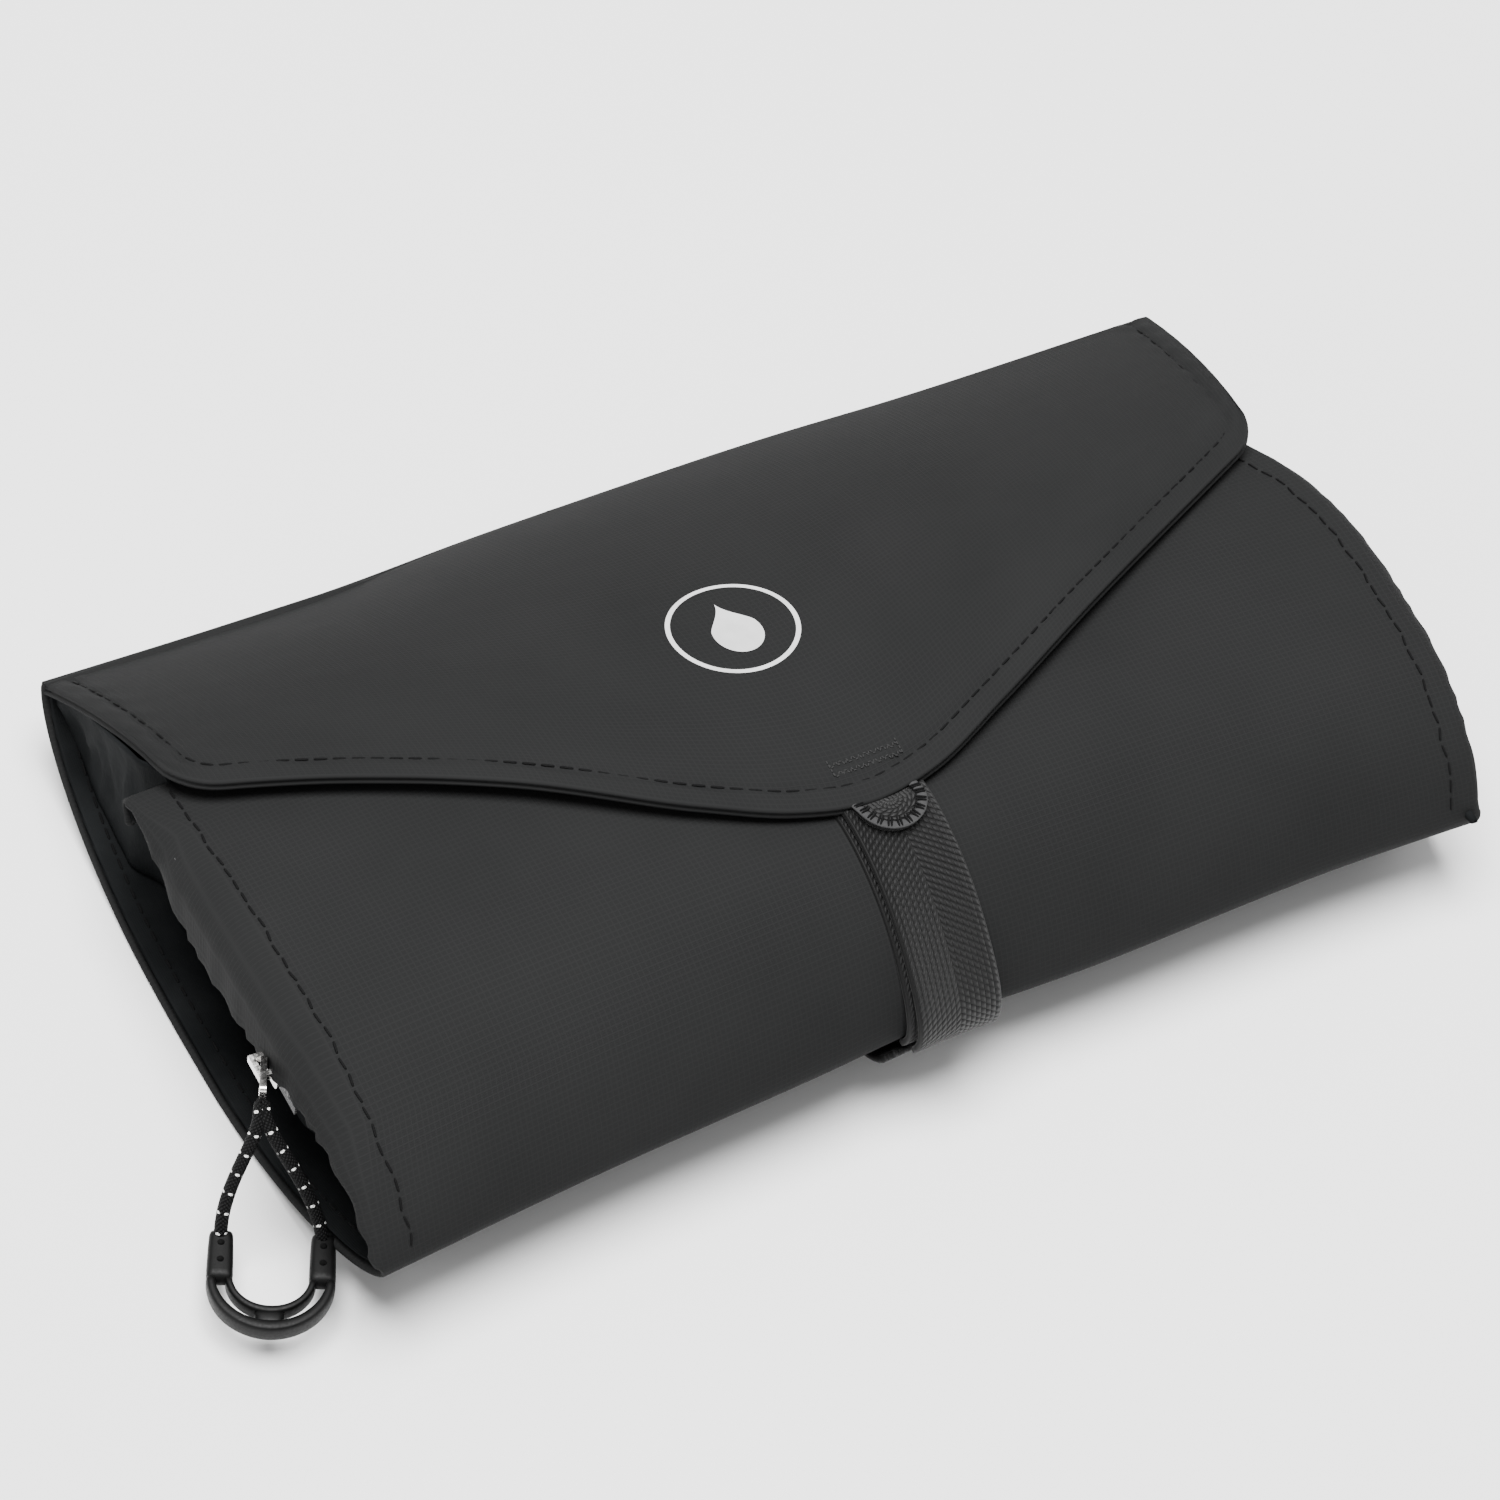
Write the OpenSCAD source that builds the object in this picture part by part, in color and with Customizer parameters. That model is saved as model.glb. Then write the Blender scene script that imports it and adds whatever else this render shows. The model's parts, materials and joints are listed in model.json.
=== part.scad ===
// Hanging toiletry bag, rolled shut.
// The bag lies on its back panel. X runs along the bag, Y from the front fold to the spine, Z up.
// The origin is on the resting plane, under the middle of the bag.
// Three padded sections are joined by two soft folds: the back section lies underneath, the front
// section folds over it at the front fold, and the flap folds over both at the spine.

/* [Bag] */
// Length from end to end
bag_l = 280; // [260:5:300]
// Depth from the front fold to the spine
bag_d = 174; // [170:1:178]
// Height of the crest of the flap
bag_h = 60; // [59.5:0.5:61]
// Height of the two folds above the resting plane
fold_h = 24; // [23:0.5:25]
// Half the depth of the flat stretch that the bag rests on
rest_y = 20; // [16:1:24]

/* [Flap] */
// Distance from the middle of the bag to the tip of the flap
tip_reach = 42; // [40:1:43]
// Distance from the middle of the bag back to the corners of the flap
corner_back = 24; // [18:1:30]
// Width of the flat at the tip
tip_w = 18; // [12:1:24]

/* [Front section] */
// Distance from the middle of the bag forward to the crest of the front section
crest_y = 54; // [52:1:56]
// Height of the crest of the front section
crest_h = 52.5; // [52:0.25:53]
// Distance from the middle of the bag back to the free edge of the front section
free_y = 36; // [32:1:37]
// Height of the free edge
free_h = 35.5; // [34:0.5:36]

/* [Layers] */
// Outer cloth
cloth_t = 1; // [0.8:0.1:1.2]
// Foam in the back section and the front section
foam_t = 2.5; // [1.5:0.5:3]
// Foam in the flap
flap_foam_t = 0.7; // [0.5:0.1:0.8]
// Lining
lining_t = 0.5; // [0.4:0.1:0.6]

/* [Webbing] */
// Width of the strap down the front
strap_w = 20; // [16:1:25]
// Thickness of the strap
strap_t = 2.2; // [1.6:0.1:2.2]
// Width of the pull tab
tab_w = 17; // [14:1:18]

/* [Zips] */
// Width of each side of a zip's tape
tape_w = 4; // [3:0.5:4.5]
// Width of the closed teeth
teeth_w = 4.6; // [4:0.2:5]
// Diameter of the puller cord
cord_d = 3; // [2.6:0.1:3.2]
// Length of the moulded grip
grip_l = 30; // [28:1:32]
// Width of the moulded grip
grip_w = 28; // [26:1:30]

/* [Hook] */
// Radius of the bar that the hook hangs on
hook_r = 9; // [7:0.5:9.5]

/* [Hidden] */

gap = 0.1;
steps = 14;
arc_fn = 48;
cloth_colour = "#3a3b3d";
front_colour = "#2b3032";
lining_colour = "#20242b";
foam_colour = "#5a5c60";
webbing_colour = "#262728";
plastic_colour = "#1b1b1c";
nickel_colour = "#d9dadb";

half_d = bag_d / 2;
half_l = bag_l / 2;
liner_in = cloth_t + foam_t + 2 * gap;
flap_t = cloth_t + flap_foam_t + lining_t + 2 * gap;
flap_crest_y = -10;
spine_top = 30;
plan_h = 80;

inner_start = [-half_d + 1.6, fold_h + 1];
inner_end = [free_y, free_h - 4];
inner_tilt = atan2(inner_end[1] - inner_start[1], inner_end[0] - inner_start[0]);

pocket_t = 0.6;
pocket_front = [-half_d + 13, 21];
pocket_rear_h = 19;
back_zip_y = 50;
teeth_t = 1.6;
tape_t = 0.6;
zip_half = teeth_w / 2 + tape_w + 2 * gap;

front_zip_rise = 5.2;
front_zip_start = -42;
front_zip_end = 12;
front_pull_turn = -27;
front_pull_y = -36;
back_pull_x = half_l - 24;

stop_l = 2.4;
stop_t = teeth_t + 0.6;
slider_l = 9;
slider_w = 8.4;
slider_cap = 1.2;
slider_h = teeth_t + gap + slider_cap;
bridge_h = 3.4;
bridge_l = 6;
bridge_wall = 1.2;
hole_mid = slider_h - teeth_t / 2 + (bridge_h - bridge_wall) / 2;
front_pull_at = [-half_l - stop_t / 2 - gap - hole_mid, front_pull_y];
loop_wire = 1.4;
loop_l = 9;
loop_pivot = 4.4;
loop_base = 7.6;
cord_start = loop_l + loop_wire / 2 + cord_d / 2 + 3 * gap;
front_reach = 19;
back_reach = 27;
grip_t = 5;
grip_arm = 5.4;
cord_spread = (grip_w - grip_arm) / 2;

hook_t = 3.6;
hook_wall = 5;
hook_y = 54.5;
hook_h = 28.8;
keeper_y = 73;
keeper_pin = 3;

// Points on an arc that is level at apex and ends at end
function arc_points(apex, end) =
    let (
        run = end[0] - apex[0],
        rise = end[1] - apex[1],
        r = (run * run + rise * rise) / (2 * rise),
        sweep = asin(run / abs(r))
    )
    [for (i = [0 : steps])
        let (a = sweep * i / steps)
        [apex[0] + abs(r) * sin(a), apex[1] + r * (1 - cos(a))]];

function reversed(points) = [for (i = [len(points) - 1 : -1 : 0]) points[i]];
function without_first(points) = [for (i = [1 : len(points) - 1]) points[i]];
function unit(v) = v / norm(v);
function left_of(v) = [-v[1], v[0]];

// A path moved to its left by d
function shifted(path, d) =
    [for (i = [0 : len(path) - 1])
        let (
            before = path[max(i - 1, 0)],
            after = path[min(i + 1, len(path) - 1)]
        )
        path[i] + d * left_of(unit(after - before))];

// The part of a path whose depth lies between two values
function between(path, low, high) = [for (p = path) if (p[0] >= low && p[0] <= high) p];

// Points that round the corner b, between a and c, with radius r
function rounded(a, b, c, r) =
    let (
        u = unit(a - b),
        v = unit(c - b),
        half = acos(u * v) / 2,
        centre = b + unit(u + v) * r / sin(half),
        from = b + u * r / tan(half) - centre,
        turn = -sign(cross(u, v)) * (180 - 2 * half),
        first = atan2(from[1], from[0])
    )
    [for (i = [0 : steps])
        let (a = first + turn * i / steps)
        centre + r * [cos(a), sin(a)]];

function rounded_outline(corners, radii) =
    let (n = len(corners))
    [for (i = [0 : n - 1])
        each rounded(corners[(i + n - 1) % n], corners[i], corners[(i + 1) % n], radii[i])];

// Section paths as [Y, Z]. The inside of the bag is to the left of each.
back_path = concat(
    reversed(arc_points([-rest_y, 0], [-half_d, fold_h])),
    arc_points([rest_y, 0], [half_d, fold_h])
);
flap_path = concat(
    reversed(arc_points([flap_crest_y, bag_h], [half_d, spine_top])),
    without_first(arc_points([flap_crest_y, bag_h], [-tip_reach - 6, bag_h - 3.8]))
);
front_path = concat(
    reversed(arc_points([-crest_y, crest_h], [free_y, free_h])),
    without_first(arc_points([-crest_y, crest_h], [-half_d, fold_h + 1.4]))
);
inner_path = [inner_start, inner_end];
pocket_path = [pocket_front, [back_zip_y - zip_half, pocket_rear_h]];
hem_path = [[back_zip_y + zip_half, pocket_rear_h], [half_d - 15, fold_h - 3.5]];

// Half the width of the flap, and its outline seen from above
function flap_outline(inset) =
    let (
        half = half_l - inset,
        tip = -tip_reach + inset,
        corner = corner_back + inset / 2,
        flat = tip_w / 2
    )
    rounded_outline(
        [[-half, half_d - 0.3], [-half, corner], [-flat, tip], [flat, tip], [half, corner],
            [half, half_d - 0.3]],
        [0.5, 9, 14, 14, 9, 0.5]
    );

// A sheet that lies between two depths under a path
module band(path, outer, inner) {
    polygon(concat(shifted(path, outer), reversed(shifted(path, inner))));
}

// Draws a [Y, Z] section and runs it along X
module along_x(length) {
    rotate([90, 0, 90])
        linear_extrude(length, center = true)
            children();
}

module plan(outline) {
    linear_extrude(plan_h)
        polygon(outline);
}

// Back section

module back_shell() {
    color(cloth_colour)
        along_x(bag_l)
            band(back_path, 0, cloth_t);
}

module back_foam() {
    color(foam_colour)
        along_x(bag_l - 12)
            band(between(back_path, -half_d + 8, half_d - 3), cloth_t + gap, cloth_t + gap + foam_t);
}

module back_lining() {
    color(lining_colour)
        along_x(bag_l - 6)
            band(between(back_path, -half_d + 8, half_d - 3), liner_in, liner_in + lining_t);
}

module back_pocket_face() {
    color(lining_colour)
        along_x(bag_l - 8)
            band(pocket_path, -pocket_t, 0);
}

module back_pocket_hem() {
    color(lining_colour)
        along_x(bag_l - 8)
            band(hem_path, -pocket_t, 0);
}

module zip_tapes(length) {
    for (side = [-1, 1])
        translate([0, side * (teeth_w + tape_w + 2 * gap) / 2, 0])
            cube([length, tape_w, tape_t], center = true);
}

module zip_teeth(length) {
    cube([length, teeth_w, teeth_t], center = true);
}

module zip_stops(length) {
    for (side = [-1, 1])
        translate([side * (length + 2 * gap + stop_l) / 2, 0, 0])
            cube([stop_l, teeth_w, stop_t], center = true);
}

module at_back_zip() {
    translate([0, back_zip_y, pocket_rear_h + 0.3])
        children();
}

back_teeth_l = bag_l - 22;

module back_zip_tape() {
    color(webbing_colour)
        at_back_zip()
            zip_tapes(bag_l - 10);
}

module back_zip_teeth() {
    color(plastic_colour)
        at_back_zip()
            zip_teeth(back_teeth_l);
}

module back_zip_stops() {
    color(nickel_colour)
        at_back_zip()
            zip_stops(back_teeth_l);
}

// Short tail of webbing under the front fold
module strap_anchor() {
    color(webbing_colour)
        translate([-3, 0, 0])
            along_x(strap_w + 4)
                band(between(back_path, -half_d + 1, -half_d + 22), -1.6, -gap);
}

// Webbing keeper at the spine, with a round eye for the pin of the hook
module hook_keeper() {
    color(webbing_colour)
        translate([0, keeper_y, hook_h + hook_t / 2])
            rotate([0, 90, 0])
                difference() {
                    union() {
                        for (side = [-1, 1])
                            translate([0, 0, side * 12])
                                cylinder(h = 4, r = keeper_pin / 2 + 1.2, center = true, $fn = arc_fn);
                        for (side = [-1, 1])
                            translate([3.2, 0, side * 12])
                                cube([4, 2.4, 4], center = true);
                        translate([4.5, -3, -14])
                            cube([1, half_d - keeper_y + 2.8, 28]);
                    }
                    cylinder(h = 30, r = keeper_pin / 2 + 0.06, center = true, $fn = arc_fn);
                }
}

// Flap

module flap_layer(outer, inner, inset) {
    intersection() {
        along_x(bag_l)
            band(flap_path, outer, inner);
        plan(flap_outline(inset));
    }
}

module flap_shell() {
    color(cloth_colour)
        flap_layer(0, cloth_t, 0);
}

module flap_foam() {
    color(foam_colour)
        flap_layer(cloth_t + gap, cloth_t + gap + flap_foam_t, 6);
}

module flap_lining() {
    color(lining_colour)
        flap_layer(flap_t - lining_t, flap_t, 1);
}

// Hook-and-loop patch under the flap, the hook side
module flap_grip_patch() {
    color(plastic_colour)
        along_x(strap_w - 2)
            band(between(flap_path, -32, -12), flap_t + gap, flap_t + gap + 1.2);
}

tab_y = -tip_reach - gap;
tab_z = bag_h - 4.6;
tab_rim = 2.2;

// A round end at the bottom of a straight stretch
module tab_shape(r, length) {
    intersection() {
        translate([0, -length])
            circle(r = r, $fn = arc_fn);
        translate([-r, -length - r])
            square([2 * r, length + r]);
    }
    translate([-r, -length])
        square([2 * r, length]);
}

tab_straight = 3.6;

module pull_tab() {
    color(webbing_colour)
        translate([0, tab_y, tab_z])
            linear_extrude(1.6)
                tab_shape(tab_w / 2 - tab_rim - gap, tab_straight);
}

module pull_tab_rim() {
    color(cloth_colour)
        translate([0, tab_y, tab_z])
            linear_extrude(2.2)
                difference() {
                    tab_shape(tab_w / 2, tab_straight);
                    tab_shape(tab_w / 2 - tab_rim, tab_straight);
                }
}

// Front section

module front_shell() {
    color(front_colour)
        along_x(bag_l)
            band(front_path, 0, cloth_t);
}

module front_foam() {
    color(foam_colour)
        along_x(bag_l - 12)
            band(between(front_path, -half_d + 4, free_y - 22), cloth_t + gap, cloth_t + gap + foam_t);
}

module front_lining() {
    color(lining_colour)
        along_x(bag_l - 6)
            band(between(front_path, -half_d + 4, free_y - 22), liner_in, liner_in + lining_t);
}

// The mesh face that closes the front section's pocket
module front_inner_panel() {
    color(lining_colour)
        along_x(bag_l - 2)
            band(inner_path, 0, 0.8);
}

module front_edge_binding() {
    color(webbing_colour)
        translate([0, free_y + gap, 0])
            along_x(bag_l)
                translate([0, inner_end[1] - 0.4])
                    square([1.6, free_h - inner_end[1] + 0.6]);
}

// The end wall of the front section's pocket
module gusset() {
    rotate([90, 0, 90])
        linear_extrude(0.8)
            polygon(concat(
                shifted(between(front_path, -half_d + 4, free_y - 4), cloth_t + gap),
                [inner_start + [6, 1.4], inner_end + [-6, 0.6]]
            ));
}

module front_gusset_left() {
    color(front_colour)
        difference() {
            translate([-half_l, 0, 0])
                gusset();
            gusset_clearance();
        }
}

module front_gusset_right() {
    color(front_colour)
        difference() {
            translate([half_l - 0.8, 0, 0])
                gusset();
            gusset_clearance();
        }
}

// Keeps the end walls clear of the foam, the lining and the inner panel
module gusset_clearance() {
    along_x(bag_l - 1.6)
        square([4 * half_d, 4 * half_d], center = true);
    along_x(bag_l + 2)
        band(inner_path, -4, 0.8 + gap);
}

// Places a zip on the left end wall: its length runs along the wall and its face points out
module at_front_zip() {
    mid = (front_zip_start + front_zip_end) / 2;
    translate([-half_l - stop_t / 2 - gap, mid, inner_height(mid) + front_zip_rise])
        rotate([inner_tilt, 0, 0])
            rotate([0, -90, 0])
                rotate([0, 0, 90])
                    children();
}

function inner_height(y) =
    inner_start[1] + (y - inner_start[0]) * tan(inner_tilt);

front_teeth_l = front_zip_end - front_zip_start;

module front_zip_tape() {
    color(webbing_colour)
        at_front_zip()
            zip_tapes(front_teeth_l + 8);
}

module front_zip_teeth() {
    color(plastic_colour)
        at_front_zip()
            zip_teeth(front_teeth_l);
}

module front_zip_stops() {
    color(nickel_colour)
        at_front_zip()
            zip_stops(front_teeth_l);
}

module strap() {
    color(webbing_colour)
        along_x(strap_w)
            band(between(front_path, -half_d + 1.5, -6), -gap - strap_t, -gap);
}

// Hook-and-loop patch on the strap, the loop side
module strap_loop_patch() {
    color(plastic_colour)
        along_x(strap_w - 2)
            band(between(front_path, -30, -8), -2 * gap - strap_t - 1, -2 * gap - strap_t);
}

// Zip pulls. A slider rides on the teeth; its bridge holds the loop, which holds the cord.

module slider() {
    difference() {
        translate([0, 0, tape_t / 2 + gap])
            linear_extrude(slider_h - (teeth_t + tape_t) / 2 - gap)
                polygon(rounded_outline(
                    [[-slider_l / 2, -slider_w / 2], [slider_l / 2, -slider_w / 2 + 1],
                        [slider_l / 2, slider_w / 2 - 1], [-slider_l / 2, slider_w / 2]],
                    [1.5, 1.5, 1.5, 1.5]
                ));
        cube([2 * slider_l, teeth_w + 0.4, teeth_t + 2 * gap], center = true);
    }
    translate([0, 0, slider_h - teeth_t / 2])
        rotate([90, 0, 0])
            linear_extrude(2, center = true)
                difference() {
                    translate([-bridge_l / 2, 0])
                        square([bridge_l, bridge_h]);
                    translate([-bridge_l / 2 + bridge_wall, 0])
                        square([bridge_l - 2 * bridge_wall, bridge_h - bridge_wall]);
                }
}

// A three-sided flat loop. Its pivot bar is upright at the origin and it points along -Y.
module pull_loop() {
    edge = loop_wire / 2;
    rotate([90, 0, 90])
        linear_extrude(loop_wire, center = true)
            difference() {
                loop_outline(edge, 0.9);
                loop_outline(-edge, 0.3);
            }
}

// The outline of the loop, moved out from its middle line
module loop_outline(out, r) {
    polygon(rounded_outline(
        [[out, loop_pivot / 2 + out], [-loop_l - out, loop_base / 2 + 1.6 * out],
            [-loop_l - out, -loop_base / 2 - 1.6 * out], [out, -loop_pivot / 2 - out]],
        [r, r, r, r]
    ));
}

// Two strands of one cord, which fall by drop on their way to a grip that starts at reach
module pull_cord(drop, reach) {
    run = reach - cord_start;
    length = norm([run, drop]) - cord_d * drop / norm([run, drop]);
    right_strand = [[0.4 * cord_spread, -0.4 * length], [cord_spread, -length]];
    left_strand = [for (p = reversed(right_strand)) [-p[0], p[1]]];
    translate([0, -cord_start, 0])
        rotate([atan2(drop, run), 0, 0])
            linear_extrude(cord_d, center = true)
                band(concat(left_strand, [[0, 0]], right_strand), -cord_d / 2, cord_d / 2);
}

// A U of soft plastic with two dimples on each arm and a curved slot in each lower bend
module pull_grip(drop, reach) {
    mid = (grip_l - grip_w / 2);
    translate([0, -reach - cord_d / 2, -drop - grip_t / 2])
        difference() {
            linear_extrude(grip_t)
                difference() {
                    tab_shape(grip_w / 2, mid);
                    tab_shape(grip_w / 2 - grip_arm, mid - 2);
                    translate([-grip_w, 0])
                        square([2 * grip_w, grip_w]);
                }
            for (side = [-1, 1])
                for (row = [0, 1])
                    translate([side * cord_spread, -4 - 4.4 * row, grip_t - 0.6])
                        cylinder(h = 2, d = 1.8, $fn = arc_fn);
            for (side = [-1, 1])
                translate([0, -mid, -1])
                    grip_slot(side);
        }
}

// One curved slot: part of a ring, from beside the bridge to the bend
module grip_slot(side) {
    slot_r = grip_w / 2 - grip_arm / 2 + 0.4;
    linear_extrude(grip_t + 2)
        intersection() {
            difference() {
                circle(r = slot_r + 0.7, $fn = arc_fn);
                circle(r = slot_r - 0.7, $fn = arc_fn);
            }
            polygon([[0, 0], [side * 4, -30], [side * 30, -8]]);
        }
}

front_pivot_h = inner_height(front_pull_at[1]) + front_zip_rise;
front_drop = front_pivot_h - 0.4 - grip_t / 2;

module at_front_pull() {
    translate([front_pull_at[0], front_pull_at[1], front_pivot_h])
        rotate([0, 0, front_pull_turn])
            children();
}

module front_slider() {
    mid = (front_zip_start + front_zip_end) / 2;
    color(nickel_colour)
        at_front_zip()
            translate([-(mid - front_pull_at[1]) / cos(inner_tilt), 0, 0])
                slider();
}

module front_pull_loop() {
    color(nickel_colour)
        at_front_pull()
            pull_loop();
}

module front_pull_cord() {
    color(webbing_colour)
        at_front_pull()
            pull_cord(front_drop, front_reach);
}

module front_pull_grip() {
    color(plastic_colour)
        at_front_pull()
            pull_grip(front_drop, front_reach);
}

back_pull_z = pocket_rear_h + 0.3 + hole_mid;
back_drop = -1.6;

module at_back_pull() {
    translate([back_pull_x, back_zip_y, back_pull_z])
        rotate([0, 0, -90])
            children();
}

module back_slider() {
    color(nickel_colour)
        at_back_zip()
            translate([back_pull_x, 0, 0])
                slider();
}

module back_pull_loop() {
    color(nickel_colour)
        at_back_pull()
            rotate([0, 90, 0])
                pull_loop();
}

module back_pull_cord() {
    color(webbing_colour)
        at_back_pull()
            pull_cord(back_drop, back_reach);
}

module back_pull_grip() {
    color(plastic_colour)
        at_back_pull()
            pull_grip(back_drop, back_reach);
}

// Flat hook that lies under the flap. Its mouth opens towards -X.
module hook() {
    color(plastic_colour)
        union() {
            translate([0, hook_y, hook_h])
                linear_extrude(hook_t)
                    difference() {
                        circle(r = hook_r + hook_wall - 0.6, $fn = arc_fn);
                        circle(r = hook_r, $fn = arc_fn);
                        translate([-40, -3])
                            square([40, 9]);
                    }
            translate([-4, hook_y + hook_r + 1, hook_h])
                cube([8, keeper_y - hook_y - hook_r - 1, hook_t]);
            translate([0, keeper_y, hook_h + hook_t / 2])
                rotate([0, 90, 0])
                    cylinder(h = 27, r = keeper_pin / 2, center = true, $fn = arc_fn);
        }
}

back_shell();
back_foam();
back_lining();
back_pocket_face();
back_pocket_hem();
back_zip_tape();
back_zip_teeth();
back_zip_stops();
strap_anchor();
hook_keeper();
flap_shell();
flap_foam();
flap_lining();
flap_grip_patch();
pull_tab();
pull_tab_rim();
front_shell();
front_foam();
front_lining();
front_inner_panel();
front_edge_binding();
front_gusset_left();
front_gusset_right();
front_zip_tape();
front_zip_teeth();
front_zip_stops();
strap();
strap_loop_patch();
front_slider();
front_pull_loop();
front_pull_cord();
front_pull_grip();
back_slider();
back_pull_loop();
back_pull_cord();
back_pull_grip();
hook();
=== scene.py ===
"""Hanging toiletry bag, rolled shut: the looks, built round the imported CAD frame.

Lengths are in millimetres in the bag's own frame: X along the bag, Y from the front fold to the
spine, Z up. Meshes are scaled to metres as they are made.
"""

import json
import math

import bpy
import numpy as np
from mathutils import Matrix, Vector, noise


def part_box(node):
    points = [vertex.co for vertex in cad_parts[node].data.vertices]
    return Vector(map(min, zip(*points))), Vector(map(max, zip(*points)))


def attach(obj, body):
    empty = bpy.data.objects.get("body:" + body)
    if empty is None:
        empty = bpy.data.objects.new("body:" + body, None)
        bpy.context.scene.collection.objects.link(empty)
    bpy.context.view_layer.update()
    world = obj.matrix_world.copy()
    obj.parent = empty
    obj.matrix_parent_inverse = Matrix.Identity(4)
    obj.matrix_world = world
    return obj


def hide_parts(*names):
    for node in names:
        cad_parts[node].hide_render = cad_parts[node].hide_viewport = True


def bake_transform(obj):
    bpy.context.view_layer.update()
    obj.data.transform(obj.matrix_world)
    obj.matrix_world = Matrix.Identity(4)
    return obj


MM = 0.001
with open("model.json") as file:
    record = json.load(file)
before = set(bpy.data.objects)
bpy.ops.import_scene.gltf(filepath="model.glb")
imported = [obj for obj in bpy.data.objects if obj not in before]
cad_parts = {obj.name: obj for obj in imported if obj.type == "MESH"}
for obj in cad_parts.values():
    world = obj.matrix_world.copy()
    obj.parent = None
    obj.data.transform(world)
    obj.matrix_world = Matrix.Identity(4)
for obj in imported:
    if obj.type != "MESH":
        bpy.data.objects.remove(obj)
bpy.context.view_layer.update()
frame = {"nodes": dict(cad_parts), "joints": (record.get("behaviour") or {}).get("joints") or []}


def high(node):
    """Highest corner of a CAD node, in millimetres."""
    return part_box(node)[1] / MM


# Driving sizes, from the frame
HALF_L = high("back_shell").x
HALF_D = high("back_shell").y
FOLD_Z = high("back_shell").z
TOP_Z = high("flap_shell").z
STRAP_HALF = high("strap").x
TAB_R = high("pull_tab_rim").x

# Front section and back section, which share one sheet of outer cloth
CREST_Y = -42.0
CREST_Z = TOP_Z - 4.5
CREST_FALL = 6.5
FREE_Y = high("front_shell").y
FREE_FALL = 9.0
INNER_Z = high("front_inner_panel").z
BOTTOM_HALF = 20.0
BOTTOM_Z = 0.2
SPINE_Z = 22.0
FACE_POWER = 1.7
UNDER_POWER = 1.75
FRONT_T = 2.4
BACK_T = 3.6
HEM = 9.0
BACK_HEM = 5.0
END_TURN = 0.8
ROLL_R = 8.0
LEFT_REACH = 3.6
ACROSS_COLUMNS = 110
ROLL_COLUMNS = 12

# Flap
FLAP_T = 2.6
FLAP_MID = 3.5
FLAP_HALF = HALF_L - 1.5
FLARE_LEFT = 0.035
FLARE_RIGHT = 0.06
FLAP_CORNER_R = 9.0
FLAP_STITCH = 4.8
FLAP_MID_Z = TOP_Z + 1.5
FLAP_END_Z = TOP_Z - 12.0

# Strap, pull tab and printed mark
STRAP_RIM = [(0, 0), (0.35, 0.3), (0.45, 0.8), (0.35, 1.3), (0, 1.6)]
STRAP_FIRST_ROW = 12
TAB_ROOT = -37.5
TAB_STRAIGHT = 5.5
TAB_RIM = 2.4
MARK_AT = (-8.0, 14.0)
MARK_R = 15.0
MARK_LINE = 1.1

# Linings
THIN_RIM = [(0, 0), (0.2, 0.4), (0, 0.8)]
PAD_GAP = 1.6
PAD_HALF = HALF_L - 1.5
PAD_STEP = 5.0
CRUMPLE = 1.4
END_FOLD = 3.0
REAR_ROWS = 26
WING_TUCK_Z = 33.0
MESH_HALF = HALF_L - 10.0

# Pullers
CORD_R = 1.45
CORD_START = 10.4
DEEP_DROP = 9.0
PULL_TURN = math.radians(-27)
GRIP_START = 26.0
GRIP_SHIFT = 3.7
GRIP_LIFT = 6.0
GRIP_R = 10.7
ARM = 11.5

# Thread
STITCH_L = 3.0
STITCH_GAP = 1.1
THREAD_R = 0.3

# Camera
CAMERA_AZIMUTH = math.radians(-36.45)
CAMERA_ELEVATION = math.radians(48.94)
CAMERA_ROLL = math.radians(10.11)
CAMERA_DISTANCE = 1.2041
CAMERA_TARGET = Vector((0, 0, 0.041))
CAMERA_LENS = 129.9
CAMERA_SHIFT = (-0.0236, -0.0241)


def curve_through(*points):
    """A smooth curve through a few (position, value) points, as a function of position."""
    xs, ys = np.array(points, float).T
    slopes = np.gradient(ys, xs)

    def at(x):
        x = np.clip(x, xs[0], xs[-1])
        i = np.clip(np.searchsorted(xs, x) - 1, 0, len(xs) - 2)
        h = xs[i + 1] - xs[i]
        t = (x - xs[i]) / h
        start = ys[i] * (1 + 2 * t) + slopes[i] * h * t
        end = ys[i + 1] * (3 - 2 * t) - slopes[i + 1] * h * (1 - t)
        return start * (1 - t) ** 2 + end * t**2

    return at


def ease(t):
    """0 to 1 with a level start and end."""
    t = np.clip(t, 0, 1)
    return t * t * (3 - 2 * t)


def bell(distance, width):
    """1 at no distance, falling away over a width."""
    return np.exp(-((distance / width) ** 2))


def spans(xs, ys):
    """Two grids that hold each x and each y: (columns, rows)."""
    return np.meshgrid(xs, ys, indexing="ij")


def unit(v):
    return v / np.maximum(np.linalg.norm(v, axis=-1, keepdims=True), 1e-9)


# Front edge of the flap and the front fold, as depth against length
flap_edge = curve_through(
    (-141, 32), (-111, 18.5), (-74, -3.5), (-39, -28), (-20, -37.5), (-3, -41),
    (14, -38), (36, -28), (74, -8), (117, 15), (143, 29),
)
fold_line = curve_through(
    (-148, -89.5), (-82, -83.5), (-22, -80.2), (40, -78.6), (104, -77), (148, -78.5),
)

# Height of the flap at the spine, against length
rear_height = curve_through(
    (-141, 22), (-105, 21), (-70, 21), (-35, 24.5), (0, 26.2), (45, 27), (80, 26), (141, 26.6),
)

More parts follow.
